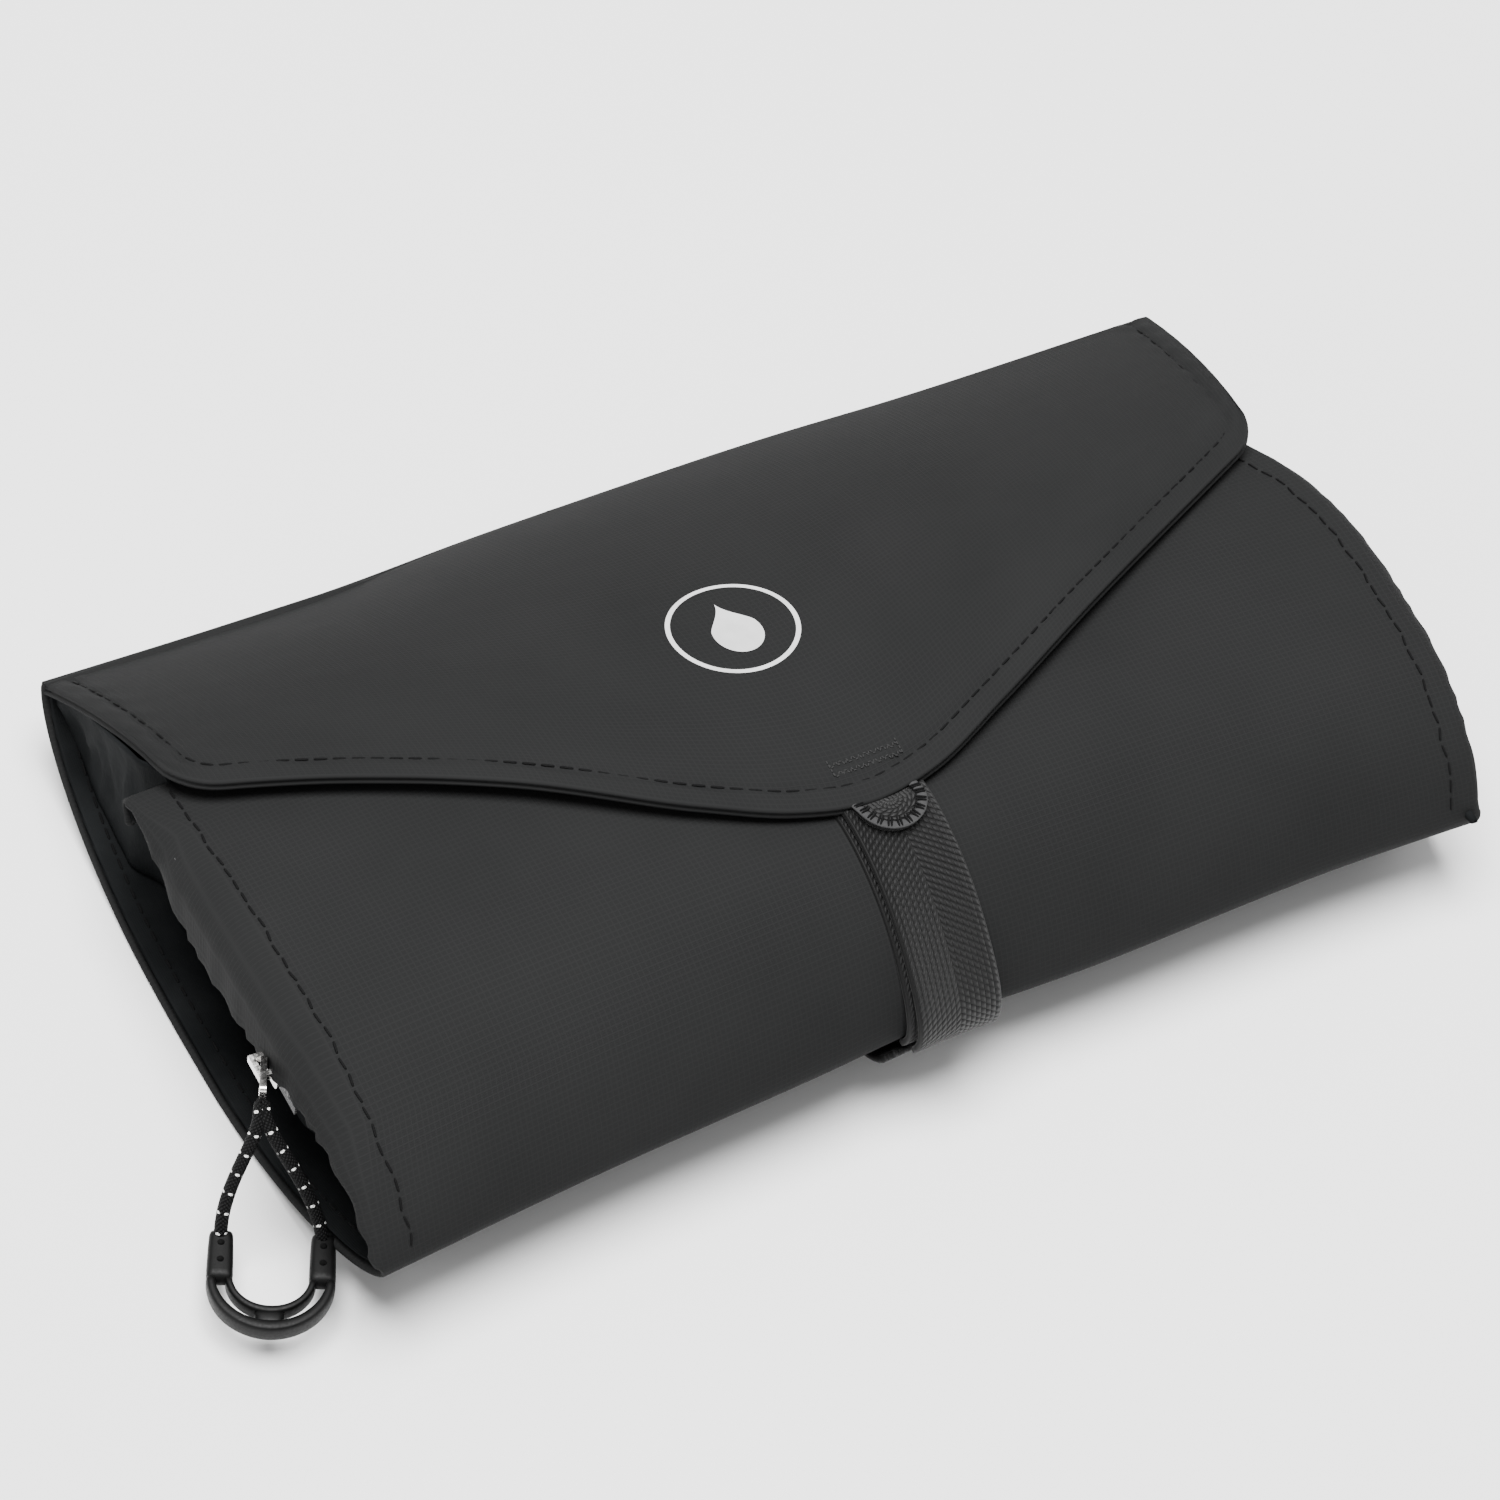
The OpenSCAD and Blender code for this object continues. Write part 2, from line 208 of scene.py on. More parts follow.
# Reach of the right end, on the front section and on the back section, against depth
right_reach = curve_through(
    (-90, 140), (-65, 143), (-34, 147), (-10, 149.5), (8, 149), (22, 146), (33, 140), (42, 139),
)
below_right = curve_through((-90, 140), (-60, 144), (0, 149), (60, 150), (87, 149))

# Drop of the cloth over the left and right ends of the front section, against depth
left_drop = curve_through(
    (-95, 2.5), (-86, 3), (-75, 5), (-60, 10), (-46, 14.5), (-34, 17.5), (-20, 18.6), (0, 17.3),
    (12, 15), (22, 9), (38, 4),
)
right_drop = curve_through((-95, 2), (-75, 4), (-40, 6), (12, 5), (38, 3))


# Mesh building


def ring_of(rows, columns):
    """Index pairs round the edge of a grid, in order."""
    return (
        [(i, 0) for i in range(rows)]
        + [(rows - 1, j) for j in range(1, columns)]
        + [(i, columns - 1) for i in range(rows - 2, -1, -1)]
        + [(0, j) for j in range(columns - 2, 0, -1)]
    )


def along_ring(value, ring):
    """A rim value at each point of the ring: one number, or one for each grid point."""
    return np.array([value[i, j] for i, j in ring])[:, None] if np.ndim(value) == 2 else value


def cloth_places(grid):
    """UV places of a grid's points, in millimetres along its middle row and column."""
    n, m = grid.shape[:2]
    along = np.linalg.norm(np.diff(grid[:, m // 2], axis=0), axis=1).cumsum()
    across = np.linalg.norm(np.diff(grid[n // 2], axis=0), axis=1).cumsum()
    u = np.concatenate([[0], along])
    v = np.concatenate([[0], across])
    return np.stack(spans(u, v), -1).reshape(-1, 2)


def sheet(name, grid, rim, materials, outward=1, normal=None):
    """A closed sheet: the grid is its outer face, rim lists (out, depth) pairs round its edge,
    and the last depth is the thickness. A rim may hold arrays, one value per grid point."""
    n, m = grid.shape[:2]
    du, dv = np.gradient(grid, axis=0), np.gradient(grid, axis=1)
    if normal is None:
        normal = unit(np.cross(du, dv)) * outward
    ring = ring_of(n, m)
    edge_u = {0: -1, n - 1: 1}
    edge_v = {0: -1, m - 1: 1}
    out = np.array([
        edge_u.get(i, 0) * unit(du[i, j]) + edge_v.get(j, 0) * unit(dv[i, j]) for i, j in ring
    ])
    at = np.array([grid[i, j] for i, j in ring])
    up = np.array([normal[i, j] for i, j in ring])
    away = unit(np.cross(np.roll(at, -1, 0) - np.roll(at, 1, 0), up))
    away *= np.sign((away * out).sum())
    edges = [at + away * along_ring(step, ring) - up * along_ring(depth, ring) for step, depth in rim[1:-1]]
    thick = rim[-1][1]
    inner = grid - normal * (thick[..., None] if np.ndim(thick) == 2 else thick)
    verts = np.concatenate([grid.reshape(-1, 3), *edges, inner.reshape(-1, 3)])
    flat = [i * m + j for i, j in ring]
    base = n * m + len(edges) * len(ring)
    loops = [flat]
    loops += [list(range(k, k + len(ring))) for k in range(n * m, base, len(ring))]
    loops.append([base + k for k in flat])
    faces = []
    index = []
    for i in range(n - 1):
        for j in range(m - 1):
            a, b, c, d = i * m + j, (i + 1) * m + j, (i + 1) * m + j + 1, i * m + j + 1
            faces += [(a, b, c, d), (base + d, base + c, base + b, base + a)]
            index += [0, 1]
    for top, low in zip(loops, loops[1:]):
        for k in range(len(ring)):
            following = (k + 1) % len(ring)
            faces.append((top[k], low[k], low[following], top[following]))
            index.append(0)
    place = cloth_places(grid)
    uv = np.concatenate([place] + [place[flat]] * len(edges) + [place])
    if outward < 0:
        faces = [f[::-1] for f in faces]
    return solid(name, verts, faces, materials, uv, index)


def solid(name, verts, faces, materials, uv=None, index=None):
    """A smooth mesh object from points in millimetres."""
    mesh = bpy.data.meshes.new(name)
    mesh.from_pydata((np.asarray(verts) * MM).tolist(), [], [tuple(f) for f in faces])
    for material in materials:
        mesh.materials.append(material)
    if index is not None:
        last = len(materials) - 1
        mesh.polygons.foreach_set("material_index", [min(k, last) for k in index])
    if uv is not None:
        layer = mesh.uv_layers.new(name="cloth")
        corner = np.zeros(len(mesh.loops), int)
        mesh.loops.foreach_get("vertex_index", corner)
        layer.data.foreach_set("uv", np.asarray(uv, float)[corner].ravel())
    mesh.polygons.foreach_set("use_smooth", [True] * len(mesh.polygons))
    mesh.validate()
    made = bpy.data.objects.new(name, mesh)
    bpy.context.scene.collection.objects.link(made)
    return made


def skin(rings, n, capped=True):
    """Faces over a row of rings with n points each."""
    faces = [
        (i * n + k, i * n + (k + 1) % n, (i + 1) * n + (k + 1) % n, (i + 1) * n + k)
        for i in range(rings - 1)
        for k in range(n)
    ]
    if capped:
        faces += [tuple(range(n))[::-1], tuple(range((rings - 1) * n, rings * n))]
    return faces


def steps_along(path):
    """Distance of each point along a path."""
    return np.concatenate([[0], np.linalg.norm(np.diff(path, axis=0), axis=1).cumsum()])


def tube(name, path, radius, material, sides=12, flatten=1.0):
    """A round tube along a path, with rounded ends."""
    path = np.asarray(path, float)
    run = unit(np.gradient(path, axis=0))
    side = unit(np.cross(run, [0.13, 0.21, 1.0]))
    up = np.cross(side, run)
    turn = np.linspace(0, 2 * math.pi, sides, endpoint=False)
    length = steps_along(path)
    size = radius * np.sqrt(np.clip(np.minimum(length, length[-1] - length) / radius * 2, 0.04, 1))
    spread = np.cos(turn)[None, :, None] * side[:, None]
    spread = spread + flatten * np.sin(turn)[None, :, None] * up[:, None]
    rings = path[:, None] + size[:, None, None] * spread
    uv = np.stack([np.tile(turn * radius, len(path)), np.repeat(length, sides)], 1)
    return solid(name, rings.reshape(-1, 3), skin(len(path), sides), [material], uv)


def resample(path, spacing):
    """Points at equal distances along a path."""
    path = np.asarray(path, float)
    length = steps_along(path)
    count = max(2, int(round(length[-1] / spacing)) + 1)
    at = np.linspace(0, length[-1], count)
    return np.stack([np.interp(at, length, path[:, k]) for k in range(path.shape[1])], 1)


def stitches(name, paths, material, length=STITCH_L, gap=STITCH_GAP, radius=THREAD_R):
    """Rows of separate stitches, each a small capsule."""
    profile = np.array([-0.5, -0.46, -0.3, 0, 0.3, 0.46, 0.5])
    size = np.array([0.2, 0.75, 1, 1, 1, 0.75, 0.2]) * radius
    turn = np.linspace(0, 2 * math.pi, 6, endpoint=False)
    capsule = skin(len(profile), len(turn))
    verts, faces = [], []
    for path in paths:
        marks = resample(path, (length + gap) / 4)
        for k in range(0, len(marks) - 3, 4):
            a, b = marks[k], marks[k + 3]
            run = unit(b - a)
            side = unit(np.cross(run, [0.1, 0.2, 1]))
            up = np.cross(side, run)
            faces += [tuple(len(verts) + corner for corner in face) for face in capsule]
            for along, r in zip(profile, size):
                centre = (a + b) / 2 + run * along * length
                verts += [centre + r * (math.cos(t) * side + math.sin(t) * up) for t in turn]
    return solid(name, verts, faces, [material])


def belongs(piece, body, slot, *nodes):
    """Says which body a piece moves with and the CAD nodes it stands for, which it hides. The slot is not
    used.
    """
    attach(piece, body)
    if nodes:
        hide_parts(*nodes)


# Finishes


def grey(value):
    return (value, value, value)


class Finish:
    """A node material, put together one node at a time."""

    def __init__(self, name, roughness, metallic=0.0, sheen=0.0, specular=0.5):
        self.material = bpy.data.materials.new(name)
        self.material.use_nodes = True
        self.tree = self.material.node_tree
        self.shader = self.tree.nodes["Principled BSDF"]
        self.put("Roughness", roughness)
        self.put("Metallic", metallic)
        self.put("Sheen Weight", sheen)
        self.put("Sheen Roughness", 0.45)
        self.put("Specular IOR Level", specular)

    def put(self, name, value):
        self.feed(self.shader.inputs[name], value)

    def feed(self, socket, value):
        if isinstance(value, bpy.types.NodeSocket):
            self.tree.links.new(value, socket)
        else:
            socket.default_value = value

    def node(self, kind, values=(), **settings):
        made = self.tree.nodes.new("ShaderNode" + kind)
        for key, value in settings.items():
            setattr(made, key, value)
        for key, value in dict(values).items():
            self.feed(made.inputs[key], value)
        return made

    def math(self, operation, a, b=0.0):
        return self.node("Math", {0: a, 1: b}, operation=operation).outputs[0]

    def times(self, a, b):
        return self.math("MULTIPLY", a, b)

    def plus(self, a, b):
        return self.math("ADD", a, b)

    def place(self, by_cloth):
        """Position on the cloth, or in space, in millimetres."""
        source = self.node("TexCoord").outputs["UV" if by_cloth else "Object"]
        scale = 1.0 if by_cloth else 1 / MM
        vector = self.node("VectorMath", {0: source, 1: (scale,) * 3}, operation="MULTIPLY").outputs[0]
        parts = self.node("SeparateXYZ", {0: vector}).outputs
        return vector, parts[0], parts[1], parts[2]

    def noise(self, vector, size, detail=2.0):
        values = {"Vector": vector, "Scale": 1 / size, "Detail": detail}
        return self.node("TexNoise", values).outputs["Fac"]

    def ridges(self, position, pitch):
        """0 to 1 and back in each pitch."""
        turn = self.times(position, math.pi / pitch)
        return self.math("ABSOLUTE", self.math("SINE", turn))

    def spread(self, value, low, high):
        """A noise value carried over to a range from low to high."""
        return self.node("MapRange", {0: value, 1: 0.3, 2: 0.7, 3: low, 4: high}).outputs[0]

    def mix(self, share, first, second):
        """A colour between two others."""
        made = self.node("Mix", data_type="RGBA")
        self.feed(made.inputs["Factor"], share)
        self.feed(made.inputs[6], first)
        self.feed(made.inputs[7], second)
        return made.outputs[2]

    def ramp(self, value, low, high, dark, light):
        """A colour between dark and light as value goes from low to high."""
        share = self.node("MapRange", {0: value, 1: low, 2: high}).outputs[0]
        return self.mix(share, (*dark, 1), (*light, 1))

    def colour(self, *shading):
        self.put("Base Color", self.ramp(*shading))

    def bump(self, height, distance, strength=1.0):
        """Adds relief, in millimetres."""
        values = {"Height": height, "Distance": distance * MM, "Strength": strength}
        made = self.node("Bump", values)
        before = self.shader.inputs["Normal"]
        if before.is_linked:
            self.feed(made.inputs["Normal"], before.links[0].from_socket)
        self.feed(before, made.outputs[0])


def ripstop(name, dark, light, by_cloth=True, roughness=0.8):
    """Coated ripstop: a fine plain weave with a grid of thicker yarns, and soft wear."""
    f = Finish(name, roughness, specular=0.06)
    vector, u, v, _ = f.place(by_cloth)
    weave = f.times(f.ridges(u, 0.45), f.ridges(v, 0.45))
    bars = [f.math("POWER", f.ridges(along, 1.3), 14.0) for along in (u, v)]
    grid = f.math("MAXIMUM", *bars)
    patch = f.noise(vector, 45.0, 3.0)
    f.colour(f.plus(patch, f.times(grid, 0.35)), 0.2, 1.0, dark, light)
    f.put("Roughness", f.spread(patch, roughness - 0.05, roughness + 0.07))
    f.bump(f.plus(f.times(weave, 0.5), f.times(grid, 0.55)), 0.07, 0.75)
    f.bump(f.noise(vector, 26.0, 1.5), 0.9, 0.35)
    return f.material


def satin(name, dark, light):
    """Thin crumpled lining, darker than the outer cloth, with a mottle that partly paints the shade between
    its crumples.
    """
    f = Finish(name, 0.72, specular=0.02)
    vector, u, v, _ = f.place(False)
    # partly painted shade: the darker and lighter patches vary the tone at random and also stand in for the
    # shade between crumples
    f.colour(f.noise(vector, 18.0, 3.0), 0.3, 0.7, dark, light)
    f.bump(f.times(f.ridges(u, 0.5), f.ridges(v, 0.5)), 0.04, 0.6)
    f.bump(f.noise(vector, 9.0, 3.0), 1.4, 0.55)
    return f.material


def netting(name):
    """Fine pocket mesh over dark lining."""
    f = Finish(name, 0.7, sheen=0.2)
    _, u, v, _ = f.place(True)
    cell = f.times(f.ridges(f.plus(u, v), 1.7), f.ridges(f.math("SUBTRACT", u, v), 1.7))
    f.colour(cell, 0.35, 0.6, (0.012, 0.013, 0.014), (0.002, 0.0023, 0.003))
    f.bump(f.math("SUBTRACT", 1.0, cell), 0.25, 0.8)
    return f.material


def herringbone(name, dark, light, by_cloth=True, column=20.0, row=1.6, yarn=1.25):
    """Webbing whose ribs slant one way in one column and back in the next."""
    f = Finish(name, 0.62, sheen=0.05, specular=0.2)
    vector, u, v, _ = f.place(by_cloth)
    slant = f.math("PINGPONG", u, column / 2)
    rib = f.ridges(f.plus(v, f.times(slant, 0.75)), row)
    height = f.times(f.math("POWER", rib, 0.8), f.math("POWER", f.ridges(u, yarn), 0.7))
    shade = f.plus(height, f.times(f.noise(vector, 1.6), 0.3))
    f.colour(shade, 0.45, 1.15, dark, light)
    f.bump(height, 0.45)
    return f.material


def tape_weave(name, axis):
    """Zip tape with ribs along its length."""
    f = Finish(name, 0.66, sheen=0.2)
    vector, *parts = f.place(False)
    ribs = f.ridges(parts[axis], 0.8)
    shade = f.plus(ribs, f.noise(vector, 1.5))
    f.colour(shade, 0.4, 1.6, (0.003, 0.003, 0.0035), (0.011, 0.011, 0.0115))
    f.bump(ribs, 0.15, 0.8)
    return f.material


def coil(name, axis):
    """Zip teeth: close ridges across the length."""
    f = Finish(name, 0.38)
    _, *parts = f.place(False)
    tooth = f.ridges(parts[axis], 1.3)
    f.colour(tooth, 0.1, 0.8, (0.0015, 0.0015, 0.002), (0.011, 0.011, 0.0115))
    f.bump(tooth, 0.5)
    return f.material


def nickel():
    """Bright plated metal with small scratches."""
    f = Finish("polished_nickel", 0.16, metallic=1.0)
    vector, *_ = f.place(False)
    scratch = f.noise(vector, 0.9, 4.0)
    f.colour(f.noise(vector, 4.0), 0.3, 0.7, (0.62, 0.61, 0.59), (0.86, 0.85, 0.83))
    f.put("Roughness", f.spread(scratch, 0.1, 0.3))
    f.bump(scratch, 0.02, 0.4)
    return f.material


def grip_tape(name, size, depth):
    """Hook-and-loop tape: a pile of tiny tufts."""
    f = Finish(name, 0.9, sheen=0.5)
    vector, *_ = f.place(False)
    tufts = f.noise(vector, size, 2.0)
    f.colour(tufts, 0.35, 0.7, (0.004, 0.004, 0.005), (0.03, 0.03, 0.032))
    f.bump(tufts, depth)
    return f.material


def braid():
    """Braided cord with a pair of pale flecks every few millimetres."""
    f = Finish("braided_cord", 0.7, specular=0.1)
    _, u, v, _ = f.place(True)
    plait = f.times(f.ridges(f.plus(v, u), 0.9), f.ridges(f.math("SUBTRACT", v, u), 0.9))
    bar = f.math("POWER", f.ridges(v, 4.6), 60.0)
    pair = f.math("POWER", f.ridges(u, 2.1), 3.0)
    fleck = f.math("GREATER_THAN", f.times(bar, pair), 0.3)
    base = f.ramp(plait, 0.1, 0.8, (0.0008, 0.0008, 0.0009), (0.009, 0.009, 0.0092))
    f.put("Base Color", f.mix(fleck, base, (0.9, 0.9, 0.88, 1)))
    f.bump(plait, 0.3)
    return f.material


def moulded(name, roughness, dark, light):
    """Soft moulded plastic with a fine grain."""
    f = Finish(name, roughness, specular=0.16)
    vector, *_ = f.place(False)
    grain = f.noise(vector, 0.5, 3.0)
    f.colour(f.noise(vector, 8.0), 0.3, 0.7, dark, light)
    f.put("Roughness", f.spread(grain, roughness - 0.06, roughness + 0.1))
    f.bump(grain, 0.05, 0.5)
    return f.material


def yarn(name, dark, light):
    """Thread: fine slanting plies."""
    f = Finish(name, 0.75, specular=0.1)
    _, x, y, z = f.place(False)
    ply = f.ridges(f.plus(x, f.plus(y, z)), 0.5)
    f.colour(ply, 0.1, 0.9, dark, light)
    f.bump(ply, 0.06, 0.8)
    return f.material


CLOTH_DARK = (0.0091, 0.0093, 0.0094)
CLOTH_LIGHT = (0.0141, 0.0143, 0.0144)
cloth = ripstop("outer_ripstop", CLOTH_DARK, CLOTH_LIGHT)
edge_cloth = ripstop("edge_ripstop", CLOTH_DARK, CLOTH_LIGHT, by_cloth=False)
lining = satin("lining_satin", (0.0052, 0.0057, 0.0060), (0.0098, 0.0105, 0.0109))
mesh_cloth = netting("pocket_mesh")
webbing = herringbone("herringbone_webbing", grey(0.0006), (0.0095, 0.0095, 0.0097))
tab_webbing = herringbone("tab_webbing", grey(0.002), grey(0.022), column=3.0, row=1.5, yarn=0.95)
flat_webbing = herringbone("keeper_webbing", grey(0.003), grey(0.02), by_cloth=False)
rim_cloth = ripstop("tab_binding", (0.034, 0.034, 0.0345), (0.044, 0.044, 0.0445), by_cloth=False)
back_tape = tape_weave("zip_tape_back", 1)
front_tape = tape_weave("zip_tape_front", 2)
back_coil = coil("zip_coil_back", 0)
front_coil = coil("zip_coil_front", 1)
metal = nickel()
hooks = grip_tape("hook_side", 0.5, 0.5)
loops = grip_tape("loop_side", 0.9, 0.35)
cord = braid()
rubber = moulded("soft_grip", 0.5, grey(0.0012), grey(0.0026))
# painted shade: a darker, rougher finish for the pills that stand in for the shade inside the grip's dimples
dimple_shade = moulded("dimple_shade", 0.9, grey(0.0004), grey(0.0008))
plastic = moulded("hook_plastic", 0.36, (0.003, 0.003, 0.0033), (0.006, 0.006, 0.0064))
thread = yarn("dark_thread", grey(0.0006), (0.004, 0.004, 0.0042))
pale_thread = yarn("grey_thread", grey(0.012), (0.03, 0.03, 0.0302))
print_ink = moulded("printed_mark", 0.55, grey(0.5), grey(0.62))


# Outer cloth of the front and back sections


def wrap_drop(y, on_front, side):
    """How far the cloth turns over at the ends."""
    wave = 0.9 * np.sin(y / 3.2 + 1.5 * np.sin(y / 9)) * ease((y + 75) / 20) * ease((30 - y) / 15)
    face = left_drop(y) + wave if side < 0 else right_drop(y)
    face = END_TURN + (face - END_TURN) * ease((FREE_Y - 3 - y) / 16)
    return np.where(on_front, face, END_TURN)


def wrap_reach(y, on_front, side):
    """How far along X the cloth reaches at a depth."""
    bulge = np.cos(np.clip(y / HALF_D, -1, 1) * math.pi / 2) ** 0.8
    below = below_right(y) if side > 0 else HALF_L + 1 + 5.5 * bulge
    face = right_reach(y) if side > 0 else np.full_like(y, HALF_L + LEFT_REACH)
    return np.where(on_front, face, below)


def wrap_section(x):
    """The section of the outer cloth at each x: from under the free edge, over the crest, round
    the front fold, along the bottom and up to the spine. Returns (columns, rows, 2) and a mask
    of the rows that belong to the front section."""
    x = np.asarray(x, float)[:, None]
    waist = bell(x, 26)
    crest = CREST_Z - CREST_FALL * (x / HALF_L) ** 2 - 0.6 * waist
    fold = fold_line(x) + 1.6 * waist
    face_power = 2 / FACE_POWER
    under_power = 2 / UNDER_POWER
    t = np.linspace(0, 1, 9)[None, :-1]
    rise = [FREE_Y + 2.5 * np.sin(t * math.pi) + 0 * x, INNER_Z + (crest - FREE_FALL - INNER_Z) * t]
    flat = [-BOTTOM_HALF + 2 * BOTTOM_HALF * t + 0 * x, BOTTOM_Z + 0 * t + 0 * x]
    t = np.linspace(0, 1, 31)[None, :-1]
    y = FREE_Y + (CREST_Y - FREE_Y) * t + 0 * x
    top = [y, crest - FREE_FALL * ((y - CREST_Y) / (FREE_Y - CREST_Y)) ** 2.5]
    t = t * math.pi / 2
    face = [
        CREST_Y + (fold - CREST_Y) * np.sin(t) ** face_power,
        FOLD_Z + (crest - FOLD_Z) * np.cos(t) ** face_power,
    ]
    t = np.linspace(0, 1, 25)[None, :-1] * math.pi / 2
    under = [
        -BOTTOM_HALF + (fold + BOTTOM_HALF) * np.cos(t) ** under_power,
        BOTTOM_Z + (FOLD_Z - BOTTOM_Z) * (1 - np.sin(t) ** under_power),
    ]
    t = np.linspace(0, 1, REAR_ROWS)[None] * math.pi / 2
    rear = [
        BOTTOM_HALF + (HALF_D - BOTTOM_HALF) * np.sin(t) + 0 * x,
        BOTTOM_Z + (SPINE_Z - BOTTOM_Z) * (1 - np.cos(t)) + 0 * x,
    ]
    parts = [np.stack(np.broadcast_arrays(*p), -1) for p in (rise, top, face, under, flat, rear)]
    counts = [p.shape[1] for p in parts]
    on_front = np.arange(sum(counts)) < sum(counts[:3])
    return np.concatenate(parts, 1), on_front


def inward(section):
    """Unit directions from the outer cloth towards the inside of the bag, in YZ."""
    run = unit(np.gradient(section, axis=1))
    return np.stack([-run[..., 1], run[..., 0]], -1)


def smoothed(values):
    """A running mean over seven rows."""
    return np.convolve(np.pad(values, 3, mode="edge"), np.ones(7) / 7, mode="valid")


def wrap_grid():
    """The outer face of the wrap, as (columns, rows, 3): across the bag, then round each end."""
    t = np.linspace(-1, 1, ACROSS_COLUMNS)
    across = np.sign(t) * (1 - (1 - np.abs(t)) ** 1.25)
    roll = np.linspace(0, 1, ROLL_COLUMNS + 1)[1:]
    place = np.concatenate([-np.ones_like(roll), across, np.ones_like(roll)])
    share = np.concatenate([roll[::-1], np.zeros_like(across), roll])
    nominal = (place + np.sign(place) * share * 0.05) * HALF_L
    base, on_front = wrap_section(np.clip(nominal, -HALF_L - 3, HALF_L + 3))
    toward = inward(base)
    columns = []
    for k in range(len(place)):
        y = base[k, :, 0]
        side = -1 if place[k] < 0 else 1
        drop = smoothed(wrap_drop(y, on_front, side))
        reach = smoothed(wrap_reach(y, on_front, side))
        radius = np.minimum(drop, ROLL_R)
        quarter = radius * math.pi / 2
        arc = share[k] * (quarter + np.maximum(drop - radius, 0))
        angle = np.minimum(arc / radius, math.pi / 2)
        depth = radius * (1 - np.cos(angle)) + np.maximum(arc - quarter, 0)
        gather = 0.45 * share[k] ** 2 * np.sin(y * 0.8 + 2 * np.sin(y * 0.21)) * on_front
        x = place[k] * (reach - radius) + side * (radius * np.sin(angle) - gather)
        point = base[k] + toward[k] * depth[:, None]
        columns.append(np.stack([x, point[:, 0], point[:, 1]], -1))
    return np.array(columns), on_front


wrap, front_rows = wrap_grid()
rows = len(front_rows)
fold_row = int(front_rows.sum())


def outer_wrap():
    """The outer cloth of both sections, one sheet round the front fold, baked in place."""
    thickness = np.where(front_rows, FRONT_T, BACK_T)[None] + 0 * wrap[..., 0]
    rim = [(0, 0), (0.5, 0.25), (0.8, thickness * 0.3), (0.8, thickness * 0.7)]
    rim += [(0.5, thickness - 0.25), (0, thickness)]
    made = sheet("outer_wrap", wrap, rim, [cloth, lining], -1)
    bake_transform(made)
    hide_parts("front_shell", "front_foam", "back_shell", "back_foam")


def on_wrap(x, lift):
    """Points of the wrap's section at x, moved outwards: (rows, 3)."""
    section, _ = wrap_section(np.array([x]))
    point = section[0] - inward(section)[0] * np.reshape(lift, (-1, 1))
    return np.column_stack([np.full(len(point), float(x)), point])


def wrap_strip(x_low, x_high, first, last, lift):
    """A strip of the wrap between two rows, lifted off it."""
    return np.array([on_wrap(x, lift)[first:last] for x in np.linspace(x_low, x_high, 9)])


# Flap


def flap_height(x, y):
    """Height of the flap's outer face: crowned in the middle, lower at its ends."""
    reach = HALF_D - y
    rear = rear_height(x)
    mid_run = HALF_D + 12
    mid_rise = FLAP_MID_Z - rear
    r = (mid_run**2 + mid_rise**2) / (2 * mid_rise)
    middle = FLAP_MID_Z - (r - np.sqrt(np.maximum(r**2 - (mid_run - reach) ** 2, 0)))
    end_run = HALF_D - 27
    rise = 1 - np.maximum(0, 1 - reach / end_run) ** 1.6
    end = rear + (FLAP_END_Z - rear) * rise
    crown = 1 - np.clip(np.abs(x) / HALF_L, 0, 1) ** 2.2
    return end + (middle - end) * crown


def flap_up(x, y):
    """Unit normals of the flap's outer face."""
    along = (flap_height(x - 1, y) - flap_height(x + 1, y)) / 2
    across = (flap_height(x, y - 1) - flap_height(x, y + 1)) / 2
    return unit(np.stack([along, across, np.ones_like(x)], -1))


def flap_place(u, v):
    """Plan position at u across (-1 to 1) and v from the spine (0) to the front edge (1)."""
    x0 = FLAP_MID + FLAP_HALF * u
    past = np.maximum(np.abs(u) * FLAP_HALF - (FLAP_HALF - FLAP_CORNER_R), 0)
    corner = FLAP_CORNER_R - np.sqrt(np.maximum(FLAP_CORNER_R**2 - past**2, 0))
    y = HALF_D + v * (flap_edge(x0) + corner - HALF_D)
    x = x0 * (1 + np.where(x0 < 0, FLARE_LEFT, FLARE_RIGHT) * (1 - v))
    return x, y


def edge_spacing(length, far, both):
    """Shares of a length, close together by the hem and wider apart elsewhere."""
    near = np.array([0, 0.4, 1.1, 2.0, 3.0, 3.8, 4.3, 4.8, 5.3, 5.9, 7.0, 9.0])
    middle = np.arange(near[-1] + far, length - (near[-1] if both else 0) - far / 2, far)
    parts = [near, middle] + ([length - near[::-1]] if both else [[length]])
    return np.concatenate(parts) / length


def flap_cloth():
    """The flap, with a groove along its stitching, a slight pucker and a double edge."""
    across = 2 * edge_spacing(2 * FLAP_HALF, 2.6, True) - 1
    along = 1 - edge_spacing(120, 2.6, False)[::-1]
    u, v = spans(across, along)
    x, y = flap_place(u, v)
    front_gap = (y - flap_place(u, np.ones_like(v))[1]) * 0.87
    side_gap = (1 - np.abs(u)) * FLAP_HALF
    gap = -np.log(np.exp(-front_gap / 1.2) + np.exp(-side_gap / 1.2)) * 1.2
    groove = -0.5 * bell(gap - FLAP_STITCH, 0.8) + 0.22 * bell(gap - 2.4, 1.4)
    pucker = 0.16 * np.sin((x + y) * 0.75) * bell(gap - FLAP_STITCH, 3.5)
    grid = np.stack([x, y, flap_height(x, y) + groove + pucker], -1)
    rim = [(0, 0), (0.55, 0.25), (0.75, 0.8), (0.3, 1.25), (1.0, 1.6), (1.1, 2.1), (0.6, 2.5), (0, FLAP_T)]
    made = sheet("flap_cloth", grid, rim, [cloth, lining], -1, flap_up(x, y))
    belongs(made, "flap", "outer_cloth", "flap_shell", "flap_foam", "flap_lining")


